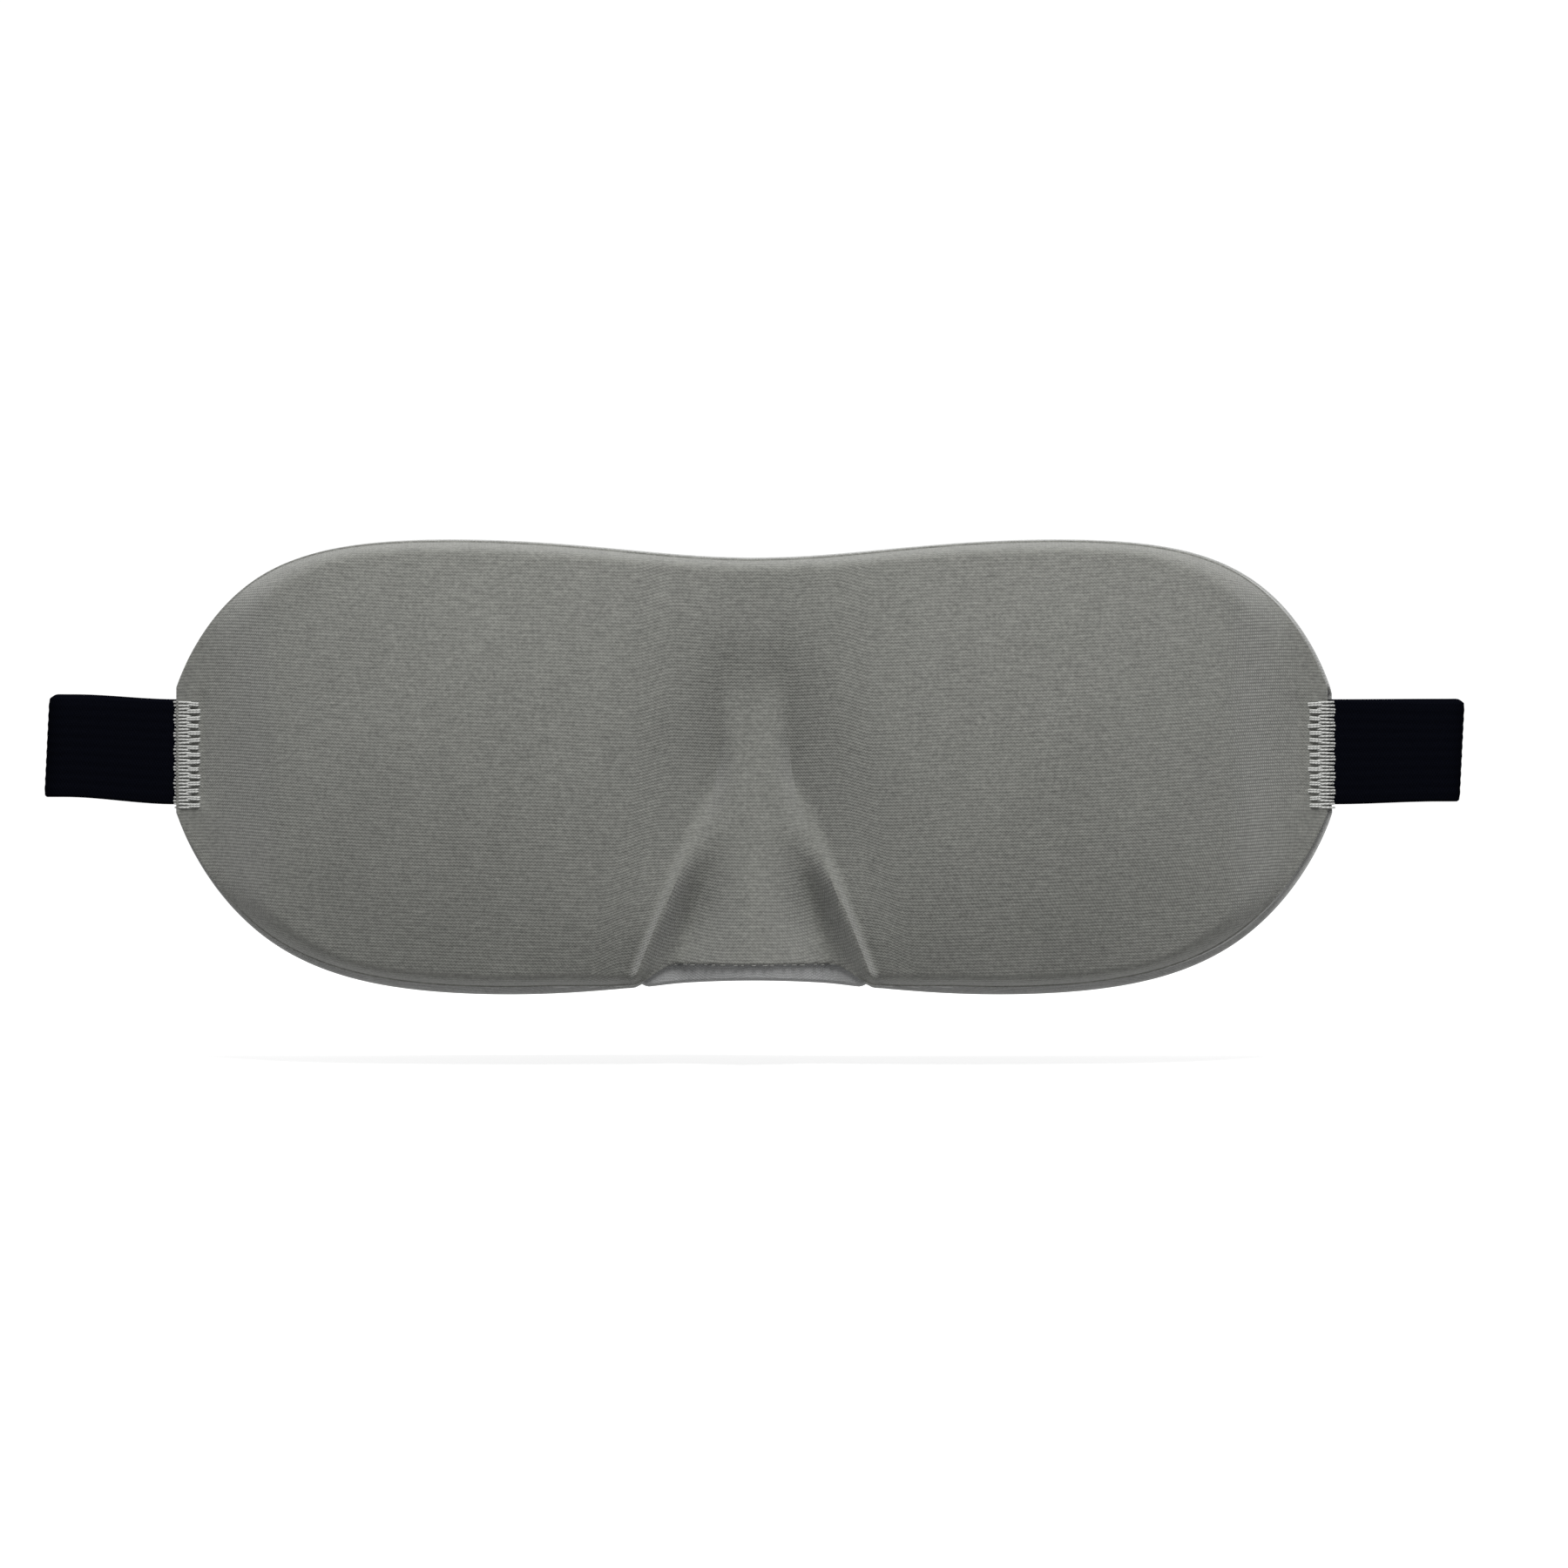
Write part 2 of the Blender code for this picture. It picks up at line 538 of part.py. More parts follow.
def make_strap_ring(strap_axis):
    """A rectangular wire ring with rounded corners, tilted between its two bars."""
    carrier = pivot("ring_axis", (RING_X, RING_RIGHT_Y, STRAP_Z), strap_axis)
    corner = 1.6
    path = []
    corners = ((RING_X - corner, 1.0, 0.0), (corner, 1.0, 90.0), (corner, -1.0, 180.0),
               (RING_X - corner, -1.0, 270.0))
    for x, side, start in corners:
        for k in range(5):
            angle = math.radians(start + 90.0 * k / 4)
            px = x + corner * math.cos(angle)
            pz = STRAP_Z + side * (RING_HALF_WIDTH - corner) + corner * math.sin(angle)
            path.append((px, lerp(RING_LEFT_Y, RING_RIGHT_Y, px / RING_X), pz))
    bm = bmesh.new()
    rings = []
    for k, centre in enumerate(path):
        before, after = path[k - 1], path[(k + 1) % len(path)]
        tangent = [a - b for a, b in zip(after, before)]
        length = math.hypot(*tangent)
        tangent = [value / length for value in tangent]
        # the wire's cross-section is spanned by +Y, made square to the path, and its normal
        lift = [-tangent[1] * value for value in tangent]
        lift[1] += 1.0
        size = math.hypot(*lift)
        lift = [value / size for value in lift]
        side = (tangent[1] * lift[2] - tangent[2] * lift[1],
                tangent[2] * lift[0] - tangent[0] * lift[2],
                tangent[0] * lift[1] - tangent[1] * lift[0])
        section = []
        for n in range(10):
            angle = 2.0 * math.pi * n / 10
            u, v = RING_WIRE * math.cos(angle), RING_WIRE * math.sin(angle)
            section.append(bm.verts.new([c + u * a + v * b for c, a, b in zip(centre, lift, side)]))
        rings.append(section)
    for k, section in enumerate(rings):
        following = rings[(k + 1) % len(rings)]
        for n in range(10):
            m = (n + 1) % 10
            bm.faces.new((section[n], section[m], following[m], following[n]))
    add_object("strap_ring", bm, PLASTIC_BLACK, 0.3, carrier)


def main():
    for obj in list(bpy.data.objects):
        bpy.data.objects.remove(obj, do_unlink=True)
    make_mask_body()
    make_sewn_ends()
    make_nose_seam_thread()
    make_nose_flap()
    left_strap_axis = make_tab_and_fold("left", -1.0)
    right_strap_axis = make_tab_and_fold("right", 1.0)
    make_long_strap(left_strap_axis)
    make_slider(left_strap_axis)
    make_right_strap(right_strap_axis)
    make_strap_ring(right_strap_axis)


main()
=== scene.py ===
"""Looks of a contoured sleep eye mask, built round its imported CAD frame.

Frame: +X to the viewer's right, -Y towards the viewer, +Z up, origin on the face side.
Shape functions work in millimetres and in "forward height", the distance in front of the
face line, which sweeps back towards the ends. Meshes are written in metres.
"""
import json
import math

import bmesh
import bpy
import numpy as np
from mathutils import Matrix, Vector


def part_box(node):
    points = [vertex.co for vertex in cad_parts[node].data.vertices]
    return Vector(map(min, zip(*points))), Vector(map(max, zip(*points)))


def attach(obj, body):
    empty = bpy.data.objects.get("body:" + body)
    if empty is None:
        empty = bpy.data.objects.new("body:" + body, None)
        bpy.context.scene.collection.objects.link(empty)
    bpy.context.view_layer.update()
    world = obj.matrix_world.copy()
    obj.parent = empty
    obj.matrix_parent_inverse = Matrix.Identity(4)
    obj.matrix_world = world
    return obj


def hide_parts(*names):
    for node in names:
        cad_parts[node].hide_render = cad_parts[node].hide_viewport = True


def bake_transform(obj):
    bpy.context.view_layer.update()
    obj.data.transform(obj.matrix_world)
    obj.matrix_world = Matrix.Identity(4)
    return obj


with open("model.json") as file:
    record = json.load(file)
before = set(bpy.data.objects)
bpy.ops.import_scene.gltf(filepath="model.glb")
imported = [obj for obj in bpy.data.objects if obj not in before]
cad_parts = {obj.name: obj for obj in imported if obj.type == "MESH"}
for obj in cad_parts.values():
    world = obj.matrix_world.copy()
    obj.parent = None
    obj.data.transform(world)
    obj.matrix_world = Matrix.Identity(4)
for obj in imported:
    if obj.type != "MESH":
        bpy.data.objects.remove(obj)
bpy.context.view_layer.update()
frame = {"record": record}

MM = 0.001


def box_mm(node):
    """A CAD node's lowest and highest corners, in millimetres."""
    low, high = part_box(node)
    return np.array(low) / MM, np.array(high) / MM


# ---- sizes, from the frame ---------------------------------------------------------
LINING_LOW, LINING_HIGH = box_mm("inner_lining")
COVER_HIGH = box_mm("outer_cover")[1]
ANCHOR_LOW = box_mm("right_strap_anchor")[0]
TAB_LOW, TAB_HIGH = box_mm("right_tab")
SLIDER_LOW, SLIDER_HIGH = box_mm("slider_frame")
END_LOOP_LOW, END_LOOP_HIGH = box_mm("strap_end_loop")
LONG_LOW, LONG_HIGH = box_mm("long_strap")
FLAP_HIGH = box_mm("nose_flap")[1]
STITCH_LOW, STITCH_HIGH = box_mm("right_bartack_front")
RING_TACK_LOW, RING_TACK_HIGH = box_mm("ring_bartack")
SLIDER_TACK_LOW, SLIDER_TACK_HIGH = box_mm("slider_bartack")
RING_LOW, RING_HIGH = box_mm("strap_ring")
JOINTS = {joint["name"]: joint for joint in frame["record"]["behaviour"]["joints"]}

HALF_LENGTH = LINING_HIGH[0]
COVER_HALF_LENGTH = COVER_HIGH[0]
FOAM_HALF_LENGTH = 107.0
SWEEP = 8.0                  # how far the ends curve back round the temples
RIM_DEPTH = 5.2              # face side to the cover's front at its edge
DOME_HEIGHT = 12.0           # eye dome above its shoulder
DOME_CENTRE = 56.0
DOME_REACH = 60.0            # from a dome's middle to where it would fade out
CAVITY_DEPTH = 16.0          # eye cavity on the face side
CAVITY_CENTRE = (58.0, -1.0)
CAVITY_RADII = (36.0, 28.0)
NOSE_ARCH = 8.0              # lift of the lower rim over the nose
NOSE_EDGE = -38.9            # cover's lower edge over the nose
NOSE_HEIGHT = 11.4           # forward height of the bridge
NOSE_FLARE = 0.17            # how fast the nose section comes forward below the bridge
CREST_HALF_WIDTH = 7.0       # nose section between its crest lines, at the bridge
CREST_SPREAD = 0.40          # how fast the crest lines part below the bridge
CREST_LIP = 2.8              # raised line along each crest
GROOVE_DEPTH = 2.6           # along the inner side of each crest line
LOW_GROOVE_DEPTH = 6.2       # more of it near the lower edge
VALLEY_DEPTH = 5.6           # outer side of each crest line, next to the domes
FABRIC = 0.7                 # outer cover and inner lining
LAYER_GAP = 0.3              # clearance between neighbouring layers

STRAP_WIDTH = TAB_HIGH[2] - TAB_LOW[2]
STRAP_THICKNESS = TAB_HIGH[1] - TAB_LOW[1]
STRAP_Z = 0.5 * (TAB_HIGH[2] + TAB_LOW[2])
TAB_Y = 0.5 * (TAB_HIGH[1] + TAB_LOW[1])
SEAM_X = JOINTS["right_tab_swing"]["pos_m"][0] / MM
FOLD_X = JOINTS["right_strap_swing"]["pos_m"][0] / MM
FOLD_Y = JOINTS["right_strap_swing"]["pos_m"][1] / MM
FOLD_RADIUS = FOLD_Y - TAB_Y
RUN_Y = FOLD_Y + FOLD_RADIUS
RING_PIVOT_X = JOINTS["ring_swivel"]["pos_m"][0] / MM
RING_PIVOT_Y = JOINTS["ring_swivel"]["pos_m"][1] / MM
RIBS = 11                    # lengthwise ribs in the elastic


# ---- small maths ---------------------------------------------------------------------
def smoothstep(t):
    t = np.clip(t, 0.0, 1.0)
    return t * t * (3.0 - 2.0 * t)


def lerp(a, b, t):
    return a + (b - a) * t


def ridge(distance, width):
    """A smooth bump of height 1 round distance 0."""
    return np.exp(-((distance / width) ** 2))


# ---- outlines and surfaces of the mask body ------------------------------------------
def edge_curve(x, height, end, dip, dip_width, power, root):
    """Height of an outline: a rounded slab with a dip at x = 0."""
    along = np.clip(np.abs(x) / HALF_LENGTH, 0.0, 1.0)
    slab = end + (height - end) * (1.0 - along**power) ** (1.0 / root)
    return slab - dip * ridge(x, dip_width)


def rim_top(x):
    return edge_curve(x, 45.5, 12.95, 4.1, 36.3, 7.8, 1.25)


def rim_bottom(x):
    return -edge_curve(x, 45.6, 7.8, 3.5, 29.5, 5.85, 1.25)


def nose_notch(x):
    """1 over the nose, where the cover is cut short, 0 from the cheeks outwards."""
    return 1.0 - smoothstep((np.abs(x) - 15.0) / 9.0)


def cover_top(x):
    return rim_top(x) - 0.5


def cover_bottom(x):
    lip = 0.6 + smoothstep((np.abs(x) - 22.0) / 20.0)
    return lerp(rim_bottom(x) + lip, NOSE_EDGE, nose_notch(x))


def lining_bottom(x):
    return lerp(rim_bottom(x), NOSE_EDGE + 1.0, nose_notch(x))


def crest(z):
    """Half width of the nose section between its two crest lines."""
    softness = 2.5
    below = np.log1p(np.exp(np.clip((-2.0 - z) / softness, -40.0, 40.0)))
    return CREST_HALF_WIDTH + CREST_SPREAD * softness * below


def sweep(x):
    return SWEEP * (x / HALF_LENGTH) ** 2


def strap_window(z, margin, softness):
    """1 across the strap's width at the sewn ends, fading to 0 above and below it."""
    reach = 0.5 * STRAP_WIDTH + margin - np.abs(z - STRAP_Z)
    return smoothstep(reach / softness)


def nose_arch(x, z):
    return NOSE_ARCH * ridge(x, 40.0) * smoothstep((5.0 - z) / 40.0)


def edge_distance(x, z):
    """Rough distance inwards from the cover's outline."""
    step = 0.5
    top_slope = (cover_top(x + step) - cover_top(x - step)) / (2.0 * step)
    low_slope = (cover_bottom(x + step) - cover_bottom(x - step)) / (2.0 * step)
    above = (cover_top(x) - z) / np.hypot(1.0, top_slope)
    below = (z - cover_bottom(x)) / np.hypot(1.0, low_slope)
    return np.maximum(np.minimum(np.minimum(above, below), COVER_HALF_LENGTH - np.abs(x)), 0.0)


def shoulder_radius(width, z):
    """How far in from the outline the cover's rounded shoulder reaches."""
    radius = lerp(2.4, 3.6, smoothstep((z + 24.0) / 30.0)) - 0.9 * smoothstep((z - 24.0) / 14.0)
    return lerp(radius, 6.0, smoothstep((width - 76.0) / 26.0))


def valley(width, z):
    """The soft hollow between a crest line and the dome beside it."""
    spread = lerp(16.0, 26.0, smoothstep((24.0 - z) / 34.0))
    closeness = np.clip(1.0 - (width - crest(z)) / spread, 0.0, 1.0)
    depth = VALLEY_DEPTH * smoothstep((30.0 - z) / 38.0) - 2.2 * smoothstep((-12.0 - z) / 24.0)
    return depth * closeness**1.7 * smoothstep((width + 1.0) / 7.0)


def fade(distance):
    """A dome's height at a distance from its middle, as a share of its full height."""
    return np.cos(0.5 * np.pi * np.minimum(np.abs(distance) / DOME_REACH, 1.0))


def dome_surface(x, z):
    """Forward height of the outer face outside the nose section."""
    width = np.abs(x)
    reach = 1.0 - np.minimum(edge_distance(x, z) / shoulder_radius(width, z), 1.0)
    shoulder = np.sqrt(1.0 - reach * reach)
    rise = lerp(5.4, 4.5, smoothstep((width - 70.0) / 40.0))
    eased = np.hypot(width, 8.0 * smoothstep(z / 38.0))       # no kink between the domes
    dome = DOME_HEIGHT * fade(eased - DOME_CENTRE) * fade(z - 1.0)
    dome = 0.55 * nose_arch(x, z) + dome - valley(width, z)
    wrap = lerp(shoulder, 1.0, 0.7 * smoothstep((-8.0 - z) / 22.0))
    height = RIM_DEPTH + shoulder * rise + wrap * dome
    pinch = smoothstep((width - 93.0) / 18.0)                 # flat where the strap is sewn in
    crease = 0.5 * ridge(width - 108.9, 0.9) * strap_window(z, 2.0, 3.0)
    return lerp(height, RIM_DEPTH, pinch) - crease


def nose_line(z):
    """Forward height along the middle of the nose section, which flares out below the bridge."""
    softness = 7.0
    return NOSE_HEIGHT + NOSE_FLARE * softness * np.log1p(np.exp((7.0 - z) / softness))


def front_height(x, z):
    """Forward height of the outer face."""
    outside = dome_surface(x, z)
    half = crest(z)
    across = np.clip(np.abs(x) / half, 0.0, 1.0)
    foot = lerp(0.46, 0.66, smoothstep((-4.0 - z) / 22.0))    # where the crest's wall starts
    wall = np.clip((across - foot) / (1.0 - foot), 0.0, 1.0) ** 1.5
    groove = GROOVE_DEPTH * smoothstep(-z / 32.0)
    groove = groove + LOW_GROOVE_DEPTH * smoothstep((-12.0 - z) / 22.0)
    floor = nose_line(z) - groove * smoothstep(across / (foot + 0.16))
    lip = CREST_LIP * smoothstep((1.0 - z) / 26.0)
    inside = lerp(floor, dome_surface(half, z) + lip, wall)
    inside = lerp(inside, outside, smoothstep((z - 9.0) / 16.0))
    outside = outside + lip * (1.0 - smoothstep((np.abs(x) - half) / 2.2))
    return np.where(np.abs(x) >= half, outside, inside)


def face_height(x, z):
    """Forward height of the face side: rim, eye cavities and the groove for the nose."""
    width = np.abs(x)
    across = (width - CAVITY_CENTRE[0]) / CAVITY_RADII[0]
    upright = (z - CAVITY_CENTRE[1]) / CAVITY_RADII[1]
    inside = across * across + upright * upright
    cavity = CAVITY_DEPTH * np.maximum(1.0 - inside * inside, 0.0)
    centre = front_height(np.zeros_like(z), z) - 4.5 - 0.75 * nose_arch(0.0, z)
    over_nose = 1.0 - smoothstep((width - crest(z) + 2.0) / 7.0)
    groove = centre * over_nose * smoothstep((32.0 - z) / 27.0)
    return np.minimum(0.75 * nose_arch(x, z) + cavity + groove, front_height(x, z) - 3.4)


# ---- mesh builders ---------------------------------------------------------------------
def finish_mesh(name, points, faces, weave, material, sharp_deg=50.0):
    """A mesh object from points in millimetres, with its weave coordinates as a UV map."""
    mesh = bpy.data.meshes.new(name)
    mesh.from_pydata([tuple(p) for p in np.asarray(points) * MM], [], faces)
    mesh.update()
    loops = np.empty(len(mesh.loops), dtype=np.int32)
    mesh.loops.foreach_get("vertex_index", loops)
    layer = mesh.uv_layers.new(name="weave")
    layer.data.foreach_set("uv", (np.asarray(weave) * MM)[loops].astype(np.float32).ravel())
    bm = bmesh.new()
    bm.from_mesh(mesh)
    bmesh.ops.recalc_face_normals(bm, faces=bm.faces)
    bm.to_mesh(mesh)
    bm.free()
    mesh.shade_smooth()
    mesh.set_sharp_from_angle(angle=math.radians(sharp_deg))
    mesh.materials.append(material)
    obj = bpy.data.objects.new(name, mesh)
    bpy.context.collection.objects.link(obj)
    return obj


def grid_faces(start, rows, columns, flip=False):
    faces = []
    for j in range(rows - 1):
        for i in range(columns - 1):
            a = start + j * columns + i
            face = (a, a + 1, a + columns + 1, a + columns)
            faces.append(face[::-1] if flip else face)
    return faces


def tube_faces(start, rings, sides, closed=False):
    """Quads between successive rings of points, and caps on the ends of an open tube."""
    faces = []
    for j in range(rings if closed else rings - 1):
        near, far = start + j * sides, start + (j + 1) % rings * sides
        for k in range(sides):
            m = (k + 1) % sides
            faces.append((near + k, near + m, far + m, far + k))
    if not closed:
        last = start + (rings - 1) * sides
        faces.append(tuple(range(start, start + sides)))
        faces.append(tuple(range(last + sides - 1, last - 1, -1)))
    return faces


def boundary(rows, columns):
    """Grid indices round the edge of a grid, in order."""
    lower = [i for i in range(columns)]
    right = [j * columns + columns - 1 for j in range(1, rows - 1)]
    upper = [(rows - 1) * columns + i for i in range(columns - 1, -1, -1)]
    left = [j * columns for j in range(rows - 2, 0, -1)]
    return np.array(lower + right + upper + left)


def surface_points(x, z, height):
    return np.stack([x, sweep(x) - height, z], axis=-1)


def arc_lengths(points):
    """Distances along the rows and columns of a grid of points, from its middle."""
    rows, columns = points.shape[:2]
    along = np.zeros((rows, columns))
    up = np.zeros((rows, columns))
    along[:, 1:] = np.cumsum(np.linalg.norm(np.diff(points, axis=1), axis=-1), axis=1)
    up[1:, :] = np.cumsum(np.linalg.norm(np.diff(points, axis=0), axis=-1), axis=0)
    along -= along[:, columns // 2][:, None]
    up -= up[rows // 2, :][None, :]
    return np.stack([along, up], axis=-1)


def make_shell(name, x, z, front, back, bulge, material, rim_steps=6, squareness=1.0):
    """A closed sheet between two grids of forward heights, with a rounded rim."""
    rows, columns = x.shape
    near, far = surface_points(x, z, front), surface_points(x, z, back)
    loop = boundary(rows, columns)
    plan = np.stack([x.ravel()[loop], z.ravel()[loop]], axis=-1)
    tangent = np.roll(plan, -1, axis=0) - np.roll(plan, 1, axis=0)
    outward = np.stack([tangent[:, 1], -tangent[:, 0]], axis=-1)
    for _ in range(3):
        outward = np.roll(outward, 1, axis=0) + 2.0 * outward + np.roll(outward, -1, axis=0)
        outward /= np.maximum(np.linalg.norm(outward, axis=-1, keepdims=True), 1e-9)
    weave_near, weave_far = arc_lengths(near), arc_lengths(far)
    points = [near.reshape(-1, 3), far.reshape(-1, 3)]
    weave = [weave_near.reshape(-1, 2), weave_far.reshape(-1, 2)]
    top, low = front.ravel()[loop], back.ravel()[loop]
    swept = sweep(plan[:, 0])
    edge_weave = weave_near.reshape(-1, 2)[loop]
    for k in range(1, rim_steps):
        angle = math.pi * k / rim_steps
        pushed = plan + outward * bulge * math.sin(angle) ** squareness
        height = 0.5 * (top + low) + 0.5 * (top - low) * math.cos(angle)
        points.append(np.stack([pushed[:, 0], swept - height, pushed[:, 1]], axis=-1))
        weave.append(edge_weave + outward * ((top - low) * k / rim_steps)[:, None])
    count = rows * columns
    faces = grid_faces(0, rows, columns) + grid_faces(count, rows, columns, flip=True)
    between = [2 * count + k * len(loop) + np.arange(len(loop)) for k in range(rim_steps - 1)]
    rings = [loop] + between + [loop + count]
    for first, second in zip(rings, rings[1:]):
        turned_first, turned_second = np.roll(first, -1), np.roll(second, -1)
        faces += [tuple(int(v) for v in face)
                  for face in zip(first, second, turned_second, turned_first)]
    return finish_mesh(name, np.concatenate(points), faces, np.concatenate(weave), material)


def arc(centre, radius, start_deg, end_deg, steps):
    angles = np.radians(np.linspace(start_deg, end_deg, steps + 1))
    return [(centre[0] + radius * math.cos(a), centre[1] + radius * math.sin(a)) for a in angles]


def resample(path, spacing):
    """A path's points, with straight stretches cut to the given spacing."""
    points = [path[0]]
    for (x0, y0), (x1, y1) in zip(path, path[1:]):
        steps = max(int(math.hypot(x1 - x0, y1 - y0) / spacing), 1)
        points += [(lerp(x0, x1, k / steps), lerp(y0, y1, k / steps)) for k in range(1, steps + 1)]
    return points


def hung(points):
    """Strap points as the ends really lie: a little low at the mask, and not quite square."""
    x, z = points[:, 0], points[:, 2]
    in_front = smoothstep((RUN_Y - 1.2 - points[:, 1]) / 3.0)
    near = smoothstep((np.abs(x) - 107.5) / 6.0) * in_front
    out = smoothstep((np.abs(x) - SEAM_X) / (FOLD_X - SEAM_X))
    askew = x + out * (0.05 * (z - STRAP_Z) + 0.7 * np.sign(x))
    height = z - 0.6 * near + out * np.where(x < 0.0, 1.0, 0.1)
    height += 0.045 * near * (1.0 - out) * (z - STRAP_Z)
    return np.stack([askew, points[:, 1], height], axis=-1)


def make_strap(name, path, spacing=1.2):
    """A ribbed elastic band along a path in the XY plane."""
    path = np.array(resample(path, spacing))
    before = np.vstack([path[:1], path[:-1]])
    after = np.vstack([path[1:], path[-1:]])
    along = after - before
    along /= np.linalg.norm(along, axis=1, keepdims=True)
    normal = np.stack([-along[:, 1], along[:, 0]], axis=-1)
    length = np.concatenate([[0.0], np.cumsum(np.linalg.norm(np.diff(path, axis=0), axis=1))])
    across = np.linspace(-1.0, 1.0, 6 * RIBS + 1)
    edge = np.sqrt(np.clip(1.0 - np.abs(across) ** 24, 0.0, 1.0))
    ribbing = 0.93 + 0.07 * np.cos(2.0 * np.pi * RIBS * 0.5 * (across + 1.0))
    profile = 0.5 * STRAP_THICKNESS * edge * ribbing
    z = STRAP_Z + 0.5 * STRAP_WIDTH * across
    under = np.stack([-profile, z], axis=-1)[-2:0:-1]
    section = np.concatenate([np.stack([profile, z], axis=-1), under])
    offset = np.concatenate([across, across[-2:0:-1]]) * 0.5 * STRAP_WIDTH
    count = len(section)
    points, weave = [], []
    for centre, side, travelled in zip(path, normal, length):
        points.append(np.stack([centre[0] + side[0] * section[:, 0],
                                centre[1] + side[1] * section[:, 0], section[:, 1]], axis=-1))
        weave.append(np.stack([np.full(count, travelled), offset], axis=-1))
    faces = tube_faces(0, len(path), count)
    points = hung(np.concatenate(points))
    return finish_mesh(name, points, faces, np.concatenate(weave), ELASTIC, 60.0)


def tube_points(path, radius, sides, closed=False):
    """Rings of points round a 3D path."""
    path = np.array(path)
    if closed:
        tangent = np.roll(path, -1, axis=0) - np.roll(path, 1, axis=0)
    else:
        tangent = np.vstack([path[1:], path[-1:]]) - np.vstack([path[:1], path[:-1]])
    tangent /= np.linalg.norm(tangent, axis=1, keepdims=True)
    up = np.array([0.0, 1.0, 0.0]) - tangent * tangent[:, 1:2]
    up /= np.maximum(np.linalg.norm(up, axis=1, keepdims=True), 1e-9)
    side = np.cross(tangent, up)
    angles = 2.0 * np.pi * np.arange(sides) / sides
    return (path[:, None, :] + radius * (np.cos(angles)[None, :, None] * up[:, None, :]
                                         + np.sin(angles)[None, :, None] * side[:, None, :]))


def make_threads(name, paths, radius, material, sides=7):
    """Closed tubes of thread along several open paths, in one object."""
    points, faces, weave, start = [], [], [], 0
    step = 0.3                   # about the distance between a path's points
    for path in paths:
        rings = tube_points(path, radius, sides)
        count = len(path)
        points.append(rings.reshape(-1, 3))
        along = np.repeat(np.arange(count), sides) * step
        weave.append(np.stack([along, np.tile(np.arange(sides), count) * radius], axis=-1))
        faces += tube_faces(start, count, sides)
        start += count * sides
    weave = np.concatenate(weave)
    return finish_mesh(name, np.concatenate(points), faces, weave, material, 70.0)


# ---- materials ---------------------------------------------------------------------------
class Shader:
    """A Principled material under construction."""

    def __init__(self, name, colour, roughness, specular=0.1, sheen=0.0):
        self.colour = colour
        self.material = bpy.data.materials.new(name)
        self.material.use_nodes = True
        self.tree = self.material.node_tree
        self.bsdf = self.tree.nodes["Principled BSDF"]
        self.bsdf.inputs["Base Color"].default_value = (*colour, 1.0)
        self.bsdf.inputs["Roughness"].default_value = roughness
        self.bsdf.inputs["Specular IOR Level"].default_value = specular
        self.bsdf.inputs["Sheen Weight"].default_value = sheen
        self.bsdf.inputs["Sheen Roughness"].default_value = 0.6
        self.material.diffuse_color = (*colour, 1.0)

    def node(self, kind, **inputs):
        node = self.tree.nodes.new(kind)
        for key, value in inputs.items():
            self.feed(node.inputs[key], value)
        return node

    def feed(self, socket, value):
        if isinstance(value, bpy.types.NodeSocket):
            self.tree.links.new(value, socket)
        else:
            socket.default_value = value

    def math(self, operation, *values):
        node = self.tree.nodes.new("ShaderNodeMath")
        node.operation = operation
        for socket, value in zip(node.inputs, values):
            self.feed(socket, value)
        return node.outputs[0]

    def weave(self):
        """The weave coordinates, in metres: along and across."""
        node = self.tree.nodes.new("ShaderNodeUVMap")
        node.uv_map = "weave"
        split = self.node("ShaderNodeSeparateXYZ", Vector=node.outputs[0])
        return split.outputs[0], split.outputs[1]

    def noise(self, scale, detail=3.0, roughness=0.6):
        """Noise over object space, between 0 and 1; scale is in features per metre."""
        place = self.tree.nodes.new("ShaderNodeTexCoord")
        node = self.node("ShaderNodeTexNoise", Vector=place.outputs["Object"])
        node.inputs["Scale"].default_value = scale
        node.inputs["Detail"].default_value = detail
        node.inputs["Roughness"].default_value = roughness
        return node.outputs["Fac"]

    def streaks(self, u, v, scale, stretch):
        """Noise over the weave, drawn out along the rows."""
        drawn = self.node("ShaderNodeCombineXYZ", X=self.math("DIVIDE", u, stretch), Y=v)
        node = self.node("ShaderNodeTexNoise", Vector=drawn.outputs[0])
        node.inputs["Scale"].default_value = scale
        node.inputs["Detail"].default_value = 2.0
        return node.outputs["Fac"]

    def wave(self, coordinate, pitch):
        """A sine along a weave coordinate, with one cycle to each pitch in millimetres."""
        turn = 2.0 * math.pi / (pitch * MM)
        return self.math("SINE", self.math("MULTIPLY", coordinate, turn))

    def swing(self, texture, contrast):
        """A texture between 0 and 1 as a change of shade either side of 0."""
        return self.math("MULTIPLY", self.math("SUBTRACT", texture, 0.5), contrast)

    def paint(self, shade):
        """Set the base colour to the material's colour times a number from a socket."""
        node = self.node("ShaderNodeVectorMath")
        node.operation = "SCALE"
        node.inputs[0].default_value = self.colour
        self.feed(node.inputs["Scale"], shade)
        self.feed(self.bsdf.inputs["Base Color"], node.outputs[0])

    def bump(self, height, distance):
        """Fine relief in the surface; distance is its depth in millimetres."""
        node = self.node("ShaderNodeBump", Height=height)
        node.inputs["Distance"].default_value = distance * MM
        node.inputs["Strength"].default_value = 1.0
        self.feed(self.bsdf.inputs["Normal"], node.outputs[0])


